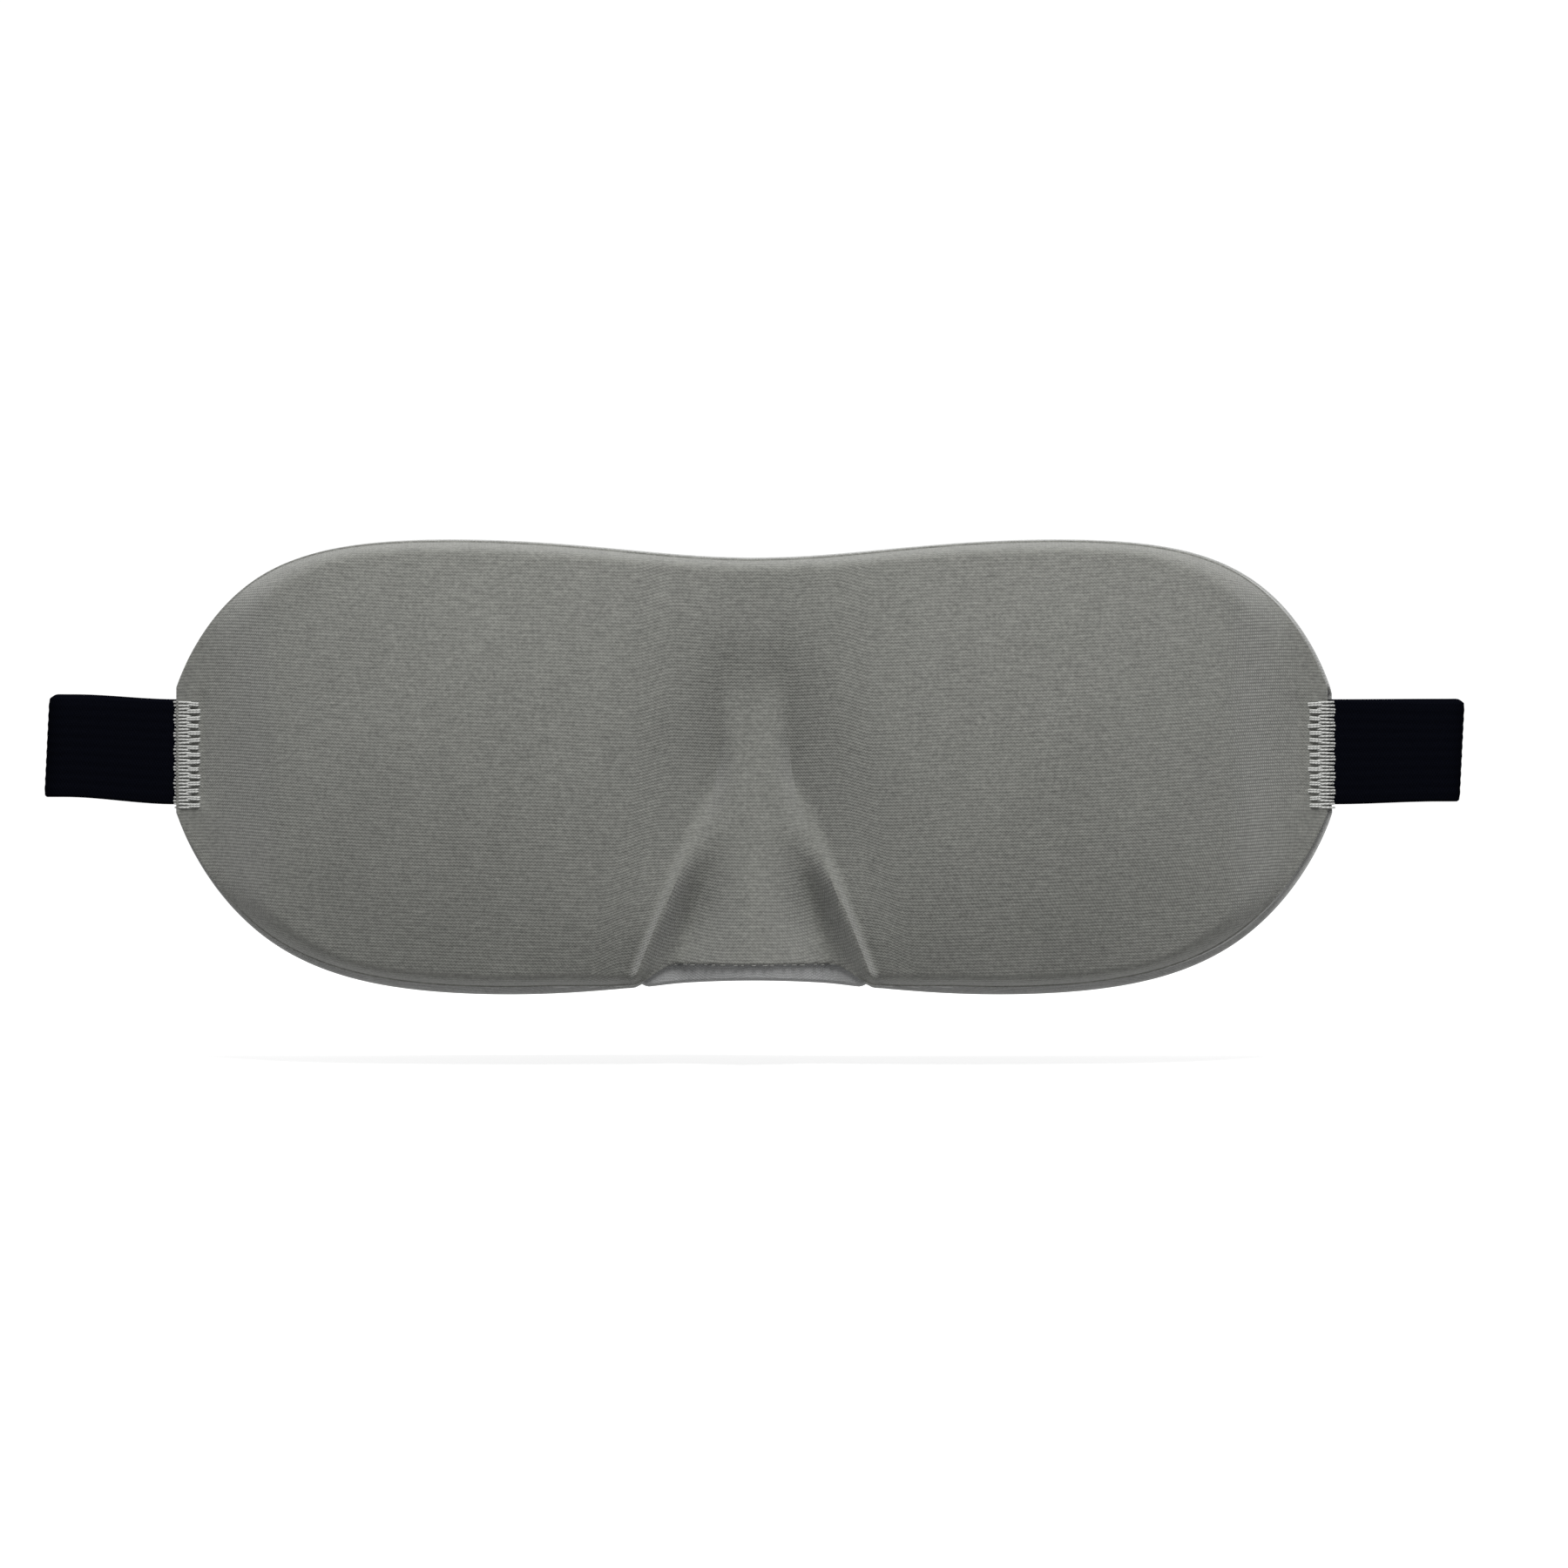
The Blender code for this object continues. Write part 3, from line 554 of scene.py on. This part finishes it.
def knit_material(name, colour, course, depth, fuzz, slub):
    """A fine jersey knit: rows of small V stitches, with fuzz, uneven yarn and faint mottling.

    course is the height of a row and depth that of a stitch, in millimetres; slub is how
    uneven the yarn's shade is.
    """
    s = Shader(name, colour, 0.92, specular=0.08, sheen=0.12)
    u, v = s.weave()
    turn = 2.0 * math.pi / (course * MM)
    leg = s.math("ABSOLUTE", s.wave(u, 2.0 * course))
    uneven = s.math("MULTIPLY_ADD", s.noise(320.0, 2.0), 2.6, s.math("MULTIPLY", leg, 2.2))
    rows = s.math("MULTIPLY_ADD", v, turn, uneven)
    stitch = s.math("MULTIPLY_ADD", s.math("SINE", rows), 0.5, 0.5)
    column = s.math("MULTIPLY_ADD", s.math("COSINE", s.math("MULTIPLY", u, turn)), 0.5, 0.5)
    width = s.math("MULTIPLY_ADD", column, 0.45, 0.55)
    loop = s.math("MULTIPLY", s.math("POWER", stitch, 0.7), width)
    fibre = s.noise(2600.0, 2.0)
    s.bump(s.math("ADD", loop, s.math("MULTIPLY", fibre, fuzz)), depth)
    plainness = s.math("ADD", s.swing(s.noise(120.0, 2.0), 1.1), 0.12)
    shade = s.math("ADD", s.swing(s.noise(55.0, 3.0), 0.2), 0.96)
    grain = s.noise(1350.0, 1.0)
    drawn = s.streaks(u, v, 1700.0, 7.0)
    for texture, contrast in ((loop, plainness), (fibre, 0.34), (grain, 1.4 * slub), (drawn, slub)):
        shade = s.math("ADD", shade, s.swing(texture, contrast))
    s.paint(shade)
    return s.material


def elastic_material(name, colour):
    """Woven elastic: lengthwise ribs in the mesh, crossed by fine weft threads."""
    s = Shader(name, colour, 0.9, specular=0.0)
    u, v = s.weave()
    weft, rib = s.wave(u, 0.55), s.wave(v, 0.5 * STRAP_WIDTH / RIBS)
    cross = s.math("MULTIPLY", weft, rib)
    fibre = s.noise(3200.0, 2.0)
    s.bump(s.math("MULTIPLY_ADD", cross, 0.5, s.math("MULTIPLY", fibre, 0.5)), 0.09)
    s.paint(s.math("MULTIPLY_ADD", cross, 0.18, s.math("MULTIPLY_ADD", fibre, 0.6, 0.65)))
    return s.material


def thread_material(name, colour):
    """Plied sewing thread."""
    s = Shader(name, colour, 0.6, specular=0.25, sheen=0.1)
    u, v = s.weave()
    ply = s.math("SINE", s.math("ADD", s.math("MULTIPLY", u, 2.0 * math.pi / (0.5 * MM)),
                                s.math("MULTIPLY", v, 2.0 * math.pi / (0.9 * MM))))
    s.bump(ply, 0.04)
    fibre = s.noise(2500.0, 2.0)
    s.paint(s.math("MULTIPLY_ADD", ply, 0.08, s.math("MULTIPLY_ADD", fibre, 0.5, 0.72)))
    return s.material


def foam_material(name, colour):
    """Open-cell foam."""
    s = Shader(name, colour, 0.95, specular=0.05)
    place = s.tree.nodes.new("ShaderNodeTexCoord")
    cells = s.node("ShaderNodeTexVoronoi", Vector=place.outputs["Object"])
    cells.inputs["Scale"].default_value = 1800.0
    s.bump(cells.outputs["Distance"], 0.25)
    s.paint(s.math("MULTIPLY_ADD", cells.outputs["Distance"], 0.5, 0.72))
    return s.material


def plastic_material(name, colour):
    """Moulded plastic with a fine grain."""
    s = Shader(name, colour, 0.38, specular=0.45)
    wear = s.noise(260.0, 4.0)
    s.bump(s.noise(4200.0, 2.0), 0.02)
    s.feed(s.bsdf.inputs["Roughness"], s.math("MULTIPLY_ADD", wear, 0.25, 0.26))
    s.paint(s.math("MULTIPLY_ADD", wear, 0.6, 0.7))
    return s.material


KNIT = knit_material("cover_knit_cloth", (0.0556, 0.0562, 0.0512), 0.64, 0.085, 0.6, 0.55)
LINING = knit_material("lining_knit_cloth", (0.125, 0.126, 0.123), 0.55, 0.06, 0.4, 0.2)
FLAP_CLOTH = knit_material("flap_knit_cloth", (0.092, 0.093, 0.093), 0.55, 0.06, 0.7, 0.25)
ELASTIC = elastic_material("woven_elastic", (0.0008, 0.0009, 0.0016))
THREAD = thread_material("sewing_thread", (0.165, 0.167, 0.160))
SEAM_THREAD = thread_material("seam_thread", (0.075, 0.076, 0.070))
BLACK_THREAD = thread_material("black_sewing_thread", (0.012, 0.012, 0.015))
FOAM = foam_material("soft_foam", (0.22, 0.22, 0.21))
PLASTIC = plastic_material("moulded_plastic", (0.012, 0.012, 0.014))


def place(piece, body, slot, *nodes):
    """Attach a piece to the body it rides on and hide the CAD nodes it stands for; slot is not
    used.
    """
    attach(piece, body)
    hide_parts(*nodes)


def place_across(piece, body_a, body_b, start, end, slot, *nodes):
    """Bake a soft piece's transform into its mesh and hide the CAD nodes it stands for; body_a,
    body_b, start, end and slot are not used.
    """
    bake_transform(piece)
    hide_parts(*nodes)


# ---- the mask body -------------------------------------------------------------------------
CREST_COLUMN = 14.0          # grid column that follows the crest line
EASE_COLUMN = 45.0           # columns from here outwards are upright
END_COLUMN = 98.0            # columns get closer from here to the end


def bent_column(column, z):
    """A column's x at height z: the one at CREST_COLUMN follows the crest line."""
    inside = column * crest(z) / CREST_COLUMN
    share = (column - CREST_COLUMN) / (EASE_COLUMN - CREST_COLUMN)
    eased = lerp(crest(z), EASE_COLUMN, share)
    return np.where(column <= CREST_COLUMN, inside, np.where(column < EASE_COLUMN, eased, column))


def body_plan(low_edge, high_edge, half_length, rows, spacing):
    """A fine grid of (x, z) between two outlines, finer at the crests and the ends."""
    nose, cheek, dome, end = (int(length / spacing) for length in (13, 34, 45, 26))
    to_end = np.sin(0.5 * np.pi * np.linspace(0.0, 1.0, end))
    half = np.concatenate([np.linspace(0.0, CREST_COLUMN, nose)[:-1],
                           np.linspace(CREST_COLUMN, EASE_COLUMN, cheek)[:-1],
                           np.linspace(EASE_COLUMN, END_COLUMN, dome)[:-1],
                           lerp(END_COLUMN, half_length, to_end)])
    columns = np.concatenate([-half[:0:-1], half])[None, :]
    t = np.linspace(0.0, 1.0, rows)[:, None]
    share = lerp(t, 0.5 - 0.5 * np.cos(np.pi * t), 0.55)
    size = np.abs(columns) + 0.0 * share
    x = size.copy()
    for _ in range(30):          # x depends on z and z on x, so they settle together
        z = lerp(low_edge(x), high_edge(x), share)
        x = 0.5 * (x + bent_column(size, z))
    return np.copysign(x, columns), z


def softened(height, passes):
    """Light smoothing of a height grid, edges kept."""
    height = height.copy()
    for _ in range(passes):
        inner = height[1:-1, 1:-1]
        around = height[:-2, 1:-1] + height[2:, 1:-1] + height[1:-1, :-2] + height[1:-1, 2:]
        height[1:-1, 1:-1] = 0.5 * inner + 0.125 * around
    return height


def hand_made(x, z):
    """Slow unevenness of moulded cloth, in millimetres."""
    wave = np.sin(x / 13.0 + 0.7 * np.sin(z / 9.0)) * np.sin(z / 11.0 + 1.3)
    return 0.09 * wave + 0.05 * np.sin(x / 5.3 + 2.1) * np.sin(z / 6.1 + 0.4)


def make_outer_cover():
    inset = 0.35
    x, z = body_plan(lambda x: cover_bottom(x) + inset, lambda x: cover_top(x) - inset,
                     COVER_HALF_LENGTH - inset, 112, 0.62)
    front = softened(front_height(x, z) + hand_made(x, z), 2)
    x = x - 0.5 * smoothstep(np.abs(x) / 90.0)
    cover = make_shell("moulded_outer_cover", x, z, front, front - FABRIC, inset, KNIT)
    place(cover, "mask", "cover_knit", "outer_cover")


def make_foam():
    inset, clear = 1.7, FABRIC + LAYER_GAP + 0.15
    x, z = body_plan(lambda x: cover_bottom(x) + inset, lambda x: cover_top(x) - inset,
                     FOAM_HALF_LENGTH, 60, 1.2)
    front = front_height(x, z) - clear
    back = np.minimum(face_height(x, z) + clear, front - 0.4)
    foam = make_shell("foam_padding", x, z, front, back, 0.2, FOAM)
    place(foam, "mask", "foam", "foam_core")


def make_lining():
    """The face-side cloth; its turned edge is the smooth pale strip round the mask."""
    bulge = 0.45
    x, z = body_plan(lambda x: lining_bottom(x) + bulge, lambda x: rim_top(x) - bulge,
                     HALF_LENGTH - bulge, 118, 0.66)
    cover = front_height(x, z)
    distance = edge_distance(x, z)
    back = face_height(x, z)
    rounding = np.clip(1.0 - distance / 4.0, 0.0, 1.0)
    back = softened(back + 0.9 * rounding * rounding, 3)
    edge = 1.0 - smoothstep((distance - 0.7) / 0.5)
    hidden = np.minimum(back + FABRIC, cover - FABRIC - LAYER_GAP)
    ends = smoothstep((np.abs(x) - 106.0) / 1.6)
    under_strap = ends * strap_window(z, 2.6, 2.0) * (STRAP_THICKNESS + LAYER_GAP)
    rim = cover - FABRIC - LAYER_GAP - under_strap
    front = lerp(hidden, rim, np.maximum(edge, ends))
    lining = make_shell("face_side_lining", x, z, front, back, bulge, LINING, 10, 0.5)
    place(lining, "mask", "lining_knit", "inner_lining")


# ---- nose flap -------------------------------------------------------------------------------
def flap_half(z):
    """Half width of the flap: it follows the groove and flares along its lower edge."""
    narrow = np.minimum(crest(z) - 2.6, FLAP_HIGH[0])
    return narrow + 5.0 * smoothstep((-29.0 - z) / 11.0)


def make_nose_flap():
    """The padded flap in the nose groove, its lower edge rolled forward under the cover."""
    top = FLAP_HIGH[2]
    rounding, half_thickness = 0.7, 0.9
    t = np.linspace(0.0, 1.0, 64)[:, None] ** 1.25
    s = np.linspace(-1.0, 1.0, 81)[None, :]
    z = lerp(NOSE_EDGE - 3.0, top - rounding, t) + 0.0 * s
    for _ in range(20):
        x = (flap_half(z) - rounding) * s
        rounded_corner = 2.2 * smoothstep((np.abs(x) - 20.5) / 4.0)
        z = 0.5 * z + 0.5 * lerp(rim_bottom(x) + rounding + rounded_corner, top - rounding, t)
    corner = 3.5 * smoothstep((np.abs(x) - 8.0) / 9.0) * smoothstep((-28.0 - z) / 9.0)
    front = softened(face_height(x, np.maximum(z, NOSE_EDGE)) - 1.3 - corner, 8)
    middle = front - half_thickness
    edge = np.minimum(1.0 - np.abs(s), np.minimum(t, 1.0 - t) * 1.6)
    puff = 0.55 + 0.45 * np.sqrt(1.0 - (1.0 - np.minimum(edge / 0.35, 1.0)) ** 2)
    roll = smoothstep((NOSE_EDGE + 0.9 - z) / 0.8)
    hem = front_height(x, np.maximum(z, cover_bottom(x) + 0.35)) - FABRIC - 0.25
    outer = lerp(middle + half_thickness * puff, hem, roll)
    inner = middle - half_thickness * puff
    flap = make_shell("padded_nose_flap", x, z, outer, inner, rounding, FLAP_CLOTH, 8, 0.6)
    place(flap, "nose_flap", "flap_knit", "nose_flap")


# ---- stitches --------------------------------------------------------------------------------
def arched(share, lift):
    """Height of a stitch above the cloth, a share of the way along it."""
    return lift * math.sin(math.pi * share) ** 0.5


def zigzag(x_ends, z_ends, pitch, surface, lift):
    """One thread that runs to and fro across x while it climbs z, in arcs over the surface."""
    count = int(round((z_ends[1] - z_ends[0]) / pitch))
    points = []
    for k in range(count):
        ends = x_ends if k % 2 == 0 else x_ends[::-1]
        for m in range(7):
            share = m / 7.0
            x = lerp(ends[0], ends[1], share)
            z = lerp(z_ends[0], z_ends[1], (k + share) / count)
            z += 0.12 * math.sin(2.7 * k)
            points.append((x, surface(x, z) - arched(share, lift), z))
    return points


def cover_surface(x, z):
    """The y of the cover's outer face."""
    x_grid, z_grid = np.array([x + 0.5 * float(smoothstep(abs(x) / 90.0))]), np.array([z])
    return float(sweep(x) - front_height(x_grid, z_grid)[0])


def strokes(x_ends, z_ends, count, surface, lift, ragged):
    """Single stitches side by side up the strap, each an arc with its ends in the cloth."""
    sunk = 0.12
    paths = []
    for k in range(count):
        low = x_ends[0] + ragged * math.sin(2.1 * k + 0.4)
        high = x_ends[1] + ragged * math.sin(1.3 * k + 2.0)
        z = lerp(z_ends[0], z_ends[1], (k + 0.5) / count)
        lean = 0.16 * math.sin(1.9 * k)
        points = []
        for m in range(8):
            share = m / 7.0
            x = lerp(low, high, share)
            height = z + lean * (share - 0.5)
            points.append((x, surface(x, height) - arched(share, lift) + sunk, height))
        paths.append(points)
    return paths


def front_of_end(x, z):
    """The y under a front stitch: the cover, then the strap past the cover's edge."""
    on_cover = cover_surface(math.copysign(min(abs(x), COVER_HALF_LENGTH - 1.0), x), z)
    on_strap = TAB_Y - 0.5 * STRAP_THICKNESS
    return float(lerp(on_cover, on_strap, smoothstep((abs(x) - COVER_HALF_LENGTH + 0.6) / 1.4)))


def back_of_end(x, z):
    return float(sweep(x)) + 0.1


def make_bartacks(side, sign):
    """A close column of stitches at the cover's edge, and a sparser one further in."""
    low, high = STITCH_LOW[2] - 0.6, STITCH_HIGH[2] - 0.2
    inner, outer = STITCH_LOW[0], STITCH_HIGH[0] + 0.6
    middle = lerp(inner, outer, 0.42)
    close = (sign * (middle - 0.4), sign * outer)
    sparse = (sign * inner, sign * (middle + 0.3))
    paths = strokes(close, (low, high), 32, front_of_end, 0.30, 0.16)
    for shift in (-0.2, 0.2):
        paths += strokes(sparse, (low + shift, high + shift), 15, front_of_end, 0.42, 0.22)
    tack = make_threads(f"{side}_bartack_front_thread", paths, 0.21, THREAD)
    place(tack, "mask", "thread", f"{side}_bartack_front")
    ends = (sign * (inner + 0.3), sign * (outer - 0.6))
    paths = [zigzag(ends, (low, high), 0.55, back_of_end, -0.2)]
    tack = make_threads(f"{side}_bartack_back_thread", paths, 0.16, THREAD)
    place(tack, "mask", "thread", f"{side}_bartack_back")


def make_nose_seam():
    """A row of short stitches under the cover's edge over the nose."""
    paths = []
    for k in range(-8, 9):
        middle = 1.95 * k + 0.35 * math.sin(2.3 * k)
        half = 0.34 + 0.12 * math.sin(1.7 * k)
        z = NOSE_EDGE - 0.12 - 0.14 * math.sin(3.1 * k)
        points = []
        for m in range(6):
            x = middle + lerp(-half, half, m / 5.0)
            height = front_height(np.array([x]), np.array([NOSE_EDGE]))[0] - 0.30
            points.append((x, float(sweep(x)) - height - 0.16 * math.sin(math.pi * m / 5.0), z))
        paths.append(points)
    seam = make_threads("nose_edge_stitches", paths, 0.10, SEAM_THREAD)
    place(seam, "mask", "thread", "nose_seam_thread")


# ---- straps ------------------------------------------------------------------------------------
HALF_TAB = 0.5 * (SEAM_X + FOLD_X)


def flipped(path, sign):
    return [(sign * x, y) for x, y in path]


def make_tab(side, sign):
    """The strap from between the mask's layers to half way along its visible end."""
    tucked = ANCHOR_LOW[0] + 0.2
    inner_y = float(sweep(tucked)) - (RIM_DEPTH - FABRIC - LAYER_GAP - 0.5 * STRAP_THICKNESS)
    path = [(tucked, inner_y), (SEAM_X - 0.9, TAB_Y), (HALF_TAB, TAB_Y)]
    strap = make_strap(f"{side}_strap_end", flipped(path, sign), 0.5)
    place_across(strap, "mask", f"{side}_tab", (sign * (SEAM_X - 0.6), TAB_Y, STRAP_Z),
                 (sign * (SEAM_X + 1.6), TAB_Y, STRAP_Z), "elastic",
                 f"{side}_strap_anchor", f"{side}_tab")


def fold_path():
    """The strap from half way along its visible end to the end of its turn behind the mask."""
    turn = arc((FOLD_X, FOLD_Y), FOLD_RADIUS, -90.0, 90.0, 24)
    return [(HALF_TAB, TAB_Y), (FOLD_X, TAB_Y)] + turn[1:]


def place_run(strap, side, sign, node):
    """Hand a run to place_across with its fold's span as start and end; that span ends before the
    strap's far thickness starts.
    """
    clear = 0.5 * STRAP_THICKNESS + 0.1
    place_across(strap, f"{side}_tab", f"{side}_strap", (sign * FOLD_X, TAB_Y + clear, STRAP_Z),
                 (sign * FOLD_X, RUN_Y - clear, STRAP_Z), "elastic", f"{side}_fold", node)


def make_long_strap():
    """From the left tab round the fold, behind the head and round the ring's bar."""
    radius = 0.5 * (LONG_HIGH[1] - LONG_LOW[1] - STRAP_THICKNESS)
    turned = (-3.0, RUN_Y + 2.0 * radius)
    path = flipped(fold_path(), -1.0) + [(0.0, RUN_Y)]
    path += arc((0.0, RUN_Y + radius), radius, -90.0, 90.0, 24)[1:] + [turned]
    place_run(make_strap("left_back_strap", path), "left", -1.0, "long_strap")
    sewn = (END_LOOP_HIGH[0], END_LOOP_HIGH[1] - 0.5 * STRAP_THICKNESS)
    doubled = make_strap("doubled_back_strap", [turned, sewn])
    place_across(doubled, "left_strap", "slider", (turned[0] - 0.5, sewn[1], STRAP_Z),
                 (*sewn, STRAP_Z), "elastic", "strap_return")


def make_right_strap():
    """From the right tab round the fold, behind the head and sewn in a loop on the ring."""
    radius = RING_PIVOT_Y - RUN_Y
    top = RUN_Y + 2.0 * radius
    folded = RUN_Y + STRAP_THICKNESS + LAYER_GAP
    path = fold_path() + [(RING_PIVOT_X, RUN_Y)]
    path += arc((RING_PIVOT_X, RING_PIVOT_Y), radius, -90.0, -270.0, 20)[1:]
    for k in range(9):
        share = k / 8.0
        path.append((RING_PIVOT_X + 1.0 + 5.0 * share, lerp(top, folded, float(smoothstep(share)))))
    path.append((RING_PIVOT_X + 12.0, folded))
    place_run(make_strap("right_back_strap", path), "right", 1.0, "right_strap")
    make_strap_tack("ring_loop_stitches", RING_TACK_LOW, RING_TACK_HIGH,
                    folded + 0.5 * STRAP_THICKNESS, "right_strap", "ring_bartack")


def make_strap_tack(name, low, high, y, body, node):
    """The zigzag that closes a strap's sewn loop."""
    def face(x, z):
        return y + 0.05

    paths = [zigzag((low[0], high[0]), (low[2], high[2]), 0.6, face, -0.18)]
    place(make_threads(name, paths, 0.16, BLACK_THREAD), body, "thread", node)


def make_end_loop():
    """The strap's end, turned round the slider's middle bar and sewn to itself."""
    top = END_LOOP_HIGH[1] - 0.5 * STRAP_THICKNESS
    under = END_LOOP_LOW[1] + 0.5 * STRAP_THICKNESS
    radius = 0.5 * (top - under)
    turn_x = END_LOOP_LOW[0] + radius + 0.5 * STRAP_THICKNESS
    end = END_LOOP_HIGH[0]
    path = [(end - 1.5, under), (turn_x, under)]
    path += arc((turn_x, under + radius), radius, -90.0, -270.0, 20)[1:] + [(end, top)]
    loop = make_strap("sewn_strap_end", path, 0.8)
    place(loop, "slider", "elastic", "strap_end_loop")
    make_strap_tack("slider_loop_stitches", SLIDER_TACK_LOW, SLIDER_TACK_HIGH,
                    top + 0.5 * STRAP_THICKNESS, "slider", "slider_bartack")


# ---- slider and ring -----------------------------------------------------------------------------
def add_rounded_block(name, low, high, radius):
    """A block with rounded edges, between two corners in millimetres."""
    low, high = np.array(low) * MM, np.array(high) * MM
    bm = bmesh.new()
    bmesh.ops.create_cube(bm, size=1.0)
    for vertex in bm.verts:
        vertex.co = 0.5 * (low + high) + np.array(vertex.co) * (high - low)
    bmesh.ops.bevel(bm, geom=bm.edges[:], offset=radius * MM, segments=4, profile=0.5,
                    affect="EDGES")
    mesh = bpy.data.meshes.new(name)
    bm.to_mesh(mesh)
    bm.free()
    obj = bpy.data.objects.new(name, mesh)
    bpy.context.collection.objects.link(obj)
    return obj


def make_slider():
    """Three-bar slide buckle, moulded in one piece."""
    low, high = SLIDER_LOW, SLIDER_HIGH
    opening = STRAP_WIDTH + 1.2  # between the rails
    bar, thick = 2.2, 1.2        # width and thickness of each bar
    rail = 0.5 * ((high[2] - low[2]) - opening)
    middle = 0.5 * (low[0] + high[0])
    bottom, top = low[2] + 0.5 * rail, high[2] - 0.5 * rail
    parts = [((low[0], low[1], high[2] - rail), high, 0.9)]
    for x in (low[0], high[0] - bar):
        parts.append(((x, low[1], bottom), (x + bar, low[1] + thick, top), 0.5))
    parts.append(((middle - 0.5 * bar, high[1] - thick, bottom),
                  (middle + 0.5 * bar, high[1], top), 0.5))
    buckle = add_rounded_block("slide_buckle", low, (high[0], high[1], low[2] + rail), 0.9)
    blocks = [add_rounded_block(f"slider_block_{k}", *part) for k, part in enumerate(parts)]
    for block in blocks:
        union = buckle.modifiers.new(f"join_{block.name}", "BOOLEAN")
        union.operation = "UNION"
        union.object = block
    graph = bpy.context.evaluated_depsgraph_get()
    mesh = bpy.data.meshes.new_from_object(buckle.evaluated_get(graph))
    buckle.modifiers.clear()
    buckle.data = mesh
    for block in blocks:
        bpy.data.objects.remove(block, do_unlink=True)
    mesh.materials.clear()
    mesh.materials.append(PLASTIC)
    mesh.shade_smooth()
    mesh.set_sharp_from_angle(angle=math.radians(40.0))
    place(buckle, "slider", "buckle_plastic", "slider_frame")


def make_ring():
    """The rectangular ring, tilted between its two bars."""
    wire, corner = 0.9, 1.6      # radii of the wire and of its bends
    half = 0.5 * (RING_HIGH[2] - RING_LOW[2]) - wire
    left_y = RING_HIGH[1] - wire
    path = []
    corners = ((RING_PIVOT_X - corner, 1.0, 0.0), (corner, 1.0, 90.0),
               (corner, -1.0, 180.0), (RING_PIVOT_X - corner, -1.0, 270.0))
    for x, side, start in corners:
        for k in range(13):
            angle = math.radians(start + 90.0 * k / 12)
            px = x + corner * math.cos(angle)
            pz = STRAP_Z + side * (half - corner) + corner * math.sin(angle)
            path.append((px, lerp(left_y, RING_PIVOT_Y, px / RING_PIVOT_X), pz))
    sides = 24
    points = tube_points(path, wire, sides, closed=True).reshape(-1, 3)
    faces = tube_faces(0, len(path), sides, closed=True)
    weave = np.zeros((len(points), 2))
    ring = finish_mesh("rectangular_ring", points, faces, weave, PLASTIC, 80.0)
    place(ring, "ring", "buckle_plastic", "strap_ring")


# ---- stage, lights and camera --------------------------------------------------------------------
def make_stage():
    """A pale floor a little below the mask, and an even white surround."""
    mesh = bpy.data.meshes.new("floor")
    half = 1.6
    z = (LINING_LOW[2] - 14.0) * MM
    corners = [(-half, -half, z), (half, -half, z), (half, half, z), (-half, half, z)]
    mesh.from_pydata(corners, [], [(0, 1, 2, 3)])
    floor = bpy.data.objects.new("floor", mesh)
    bpy.context.collection.objects.link(floor)
    pale = Shader("pale_floor", (0.25, 0.25, 0.25), 0.9, specular=0.0)
    pale.bsdf.inputs["Emission Color"].default_value = (1.0, 1.0, 1.0, 1.0)
    pale.bsdf.inputs["Emission Strength"].default_value = 0.66
    mesh.materials.append(pale.material)

    world = bpy.data.worlds.new("studio")
    bpy.context.scene.world = world
    world.use_nodes = True
    surround = world.node_tree.nodes["Background"]
    surround.inputs["Color"].default_value = (1.0, 1.0, 1.0, 1.0)
    surround.inputs["Strength"].default_value = 1.05


def aim(obj, target):
    obj.rotation_euler = (Vector(target) - obj.location).to_track_quat("-Z", "Y").to_euler()


def make_light(name, position, size, power):
    """A round soft light aimed at the middle of the mask."""
    data = bpy.data.lights.new(name, "AREA")
    data.shape = "DISK"
    data.size = size
    data.energy = power
    light = bpy.data.objects.new(name, data)
    bpy.context.collection.objects.link(light)
    light.location = position
    aim(light, (0.0, 0.0, 0.0))


def make_camera():
    """A long lens straight in front of the mask, as the photograph looks at it."""
    frame_width, distance = 0.3114, 1.25
    aim_x, aim_z = 0.0059, -0.0035
    data = bpy.data.cameras.new("camera")
    data.sensor_width = 36.0
    data.lens = data.sensor_width * distance / frame_width
    data.clip_start = 0.01
    camera = bpy.data.objects.new("camera", data)
    bpy.context.collection.objects.link(camera)
    camera.location = (aim_x, -distance, aim_z)
    aim(camera, (aim_x, 0.0, aim_z))
    bpy.context.scene.camera = camera


make_outer_cover()
make_foam()
make_lining()
make_nose_flap()
make_bartacks("left", -1.0)
make_bartacks("right", 1.0)
make_nose_seam()
make_tab("left", -1.0)
make_tab("right", 1.0)
make_long_strap()
make_right_strap()
make_end_loop()
make_slider()
make_ring()
make_stage()
make_light("key", (0.08, -0.60, 1.04), 0.6, 52.0)
make_light("back_fill", (0.0, 1.2, 0.9), 1.0, 14.0)
make_camera()
bpy.context.scene.view_settings.view_transform = "Standard"
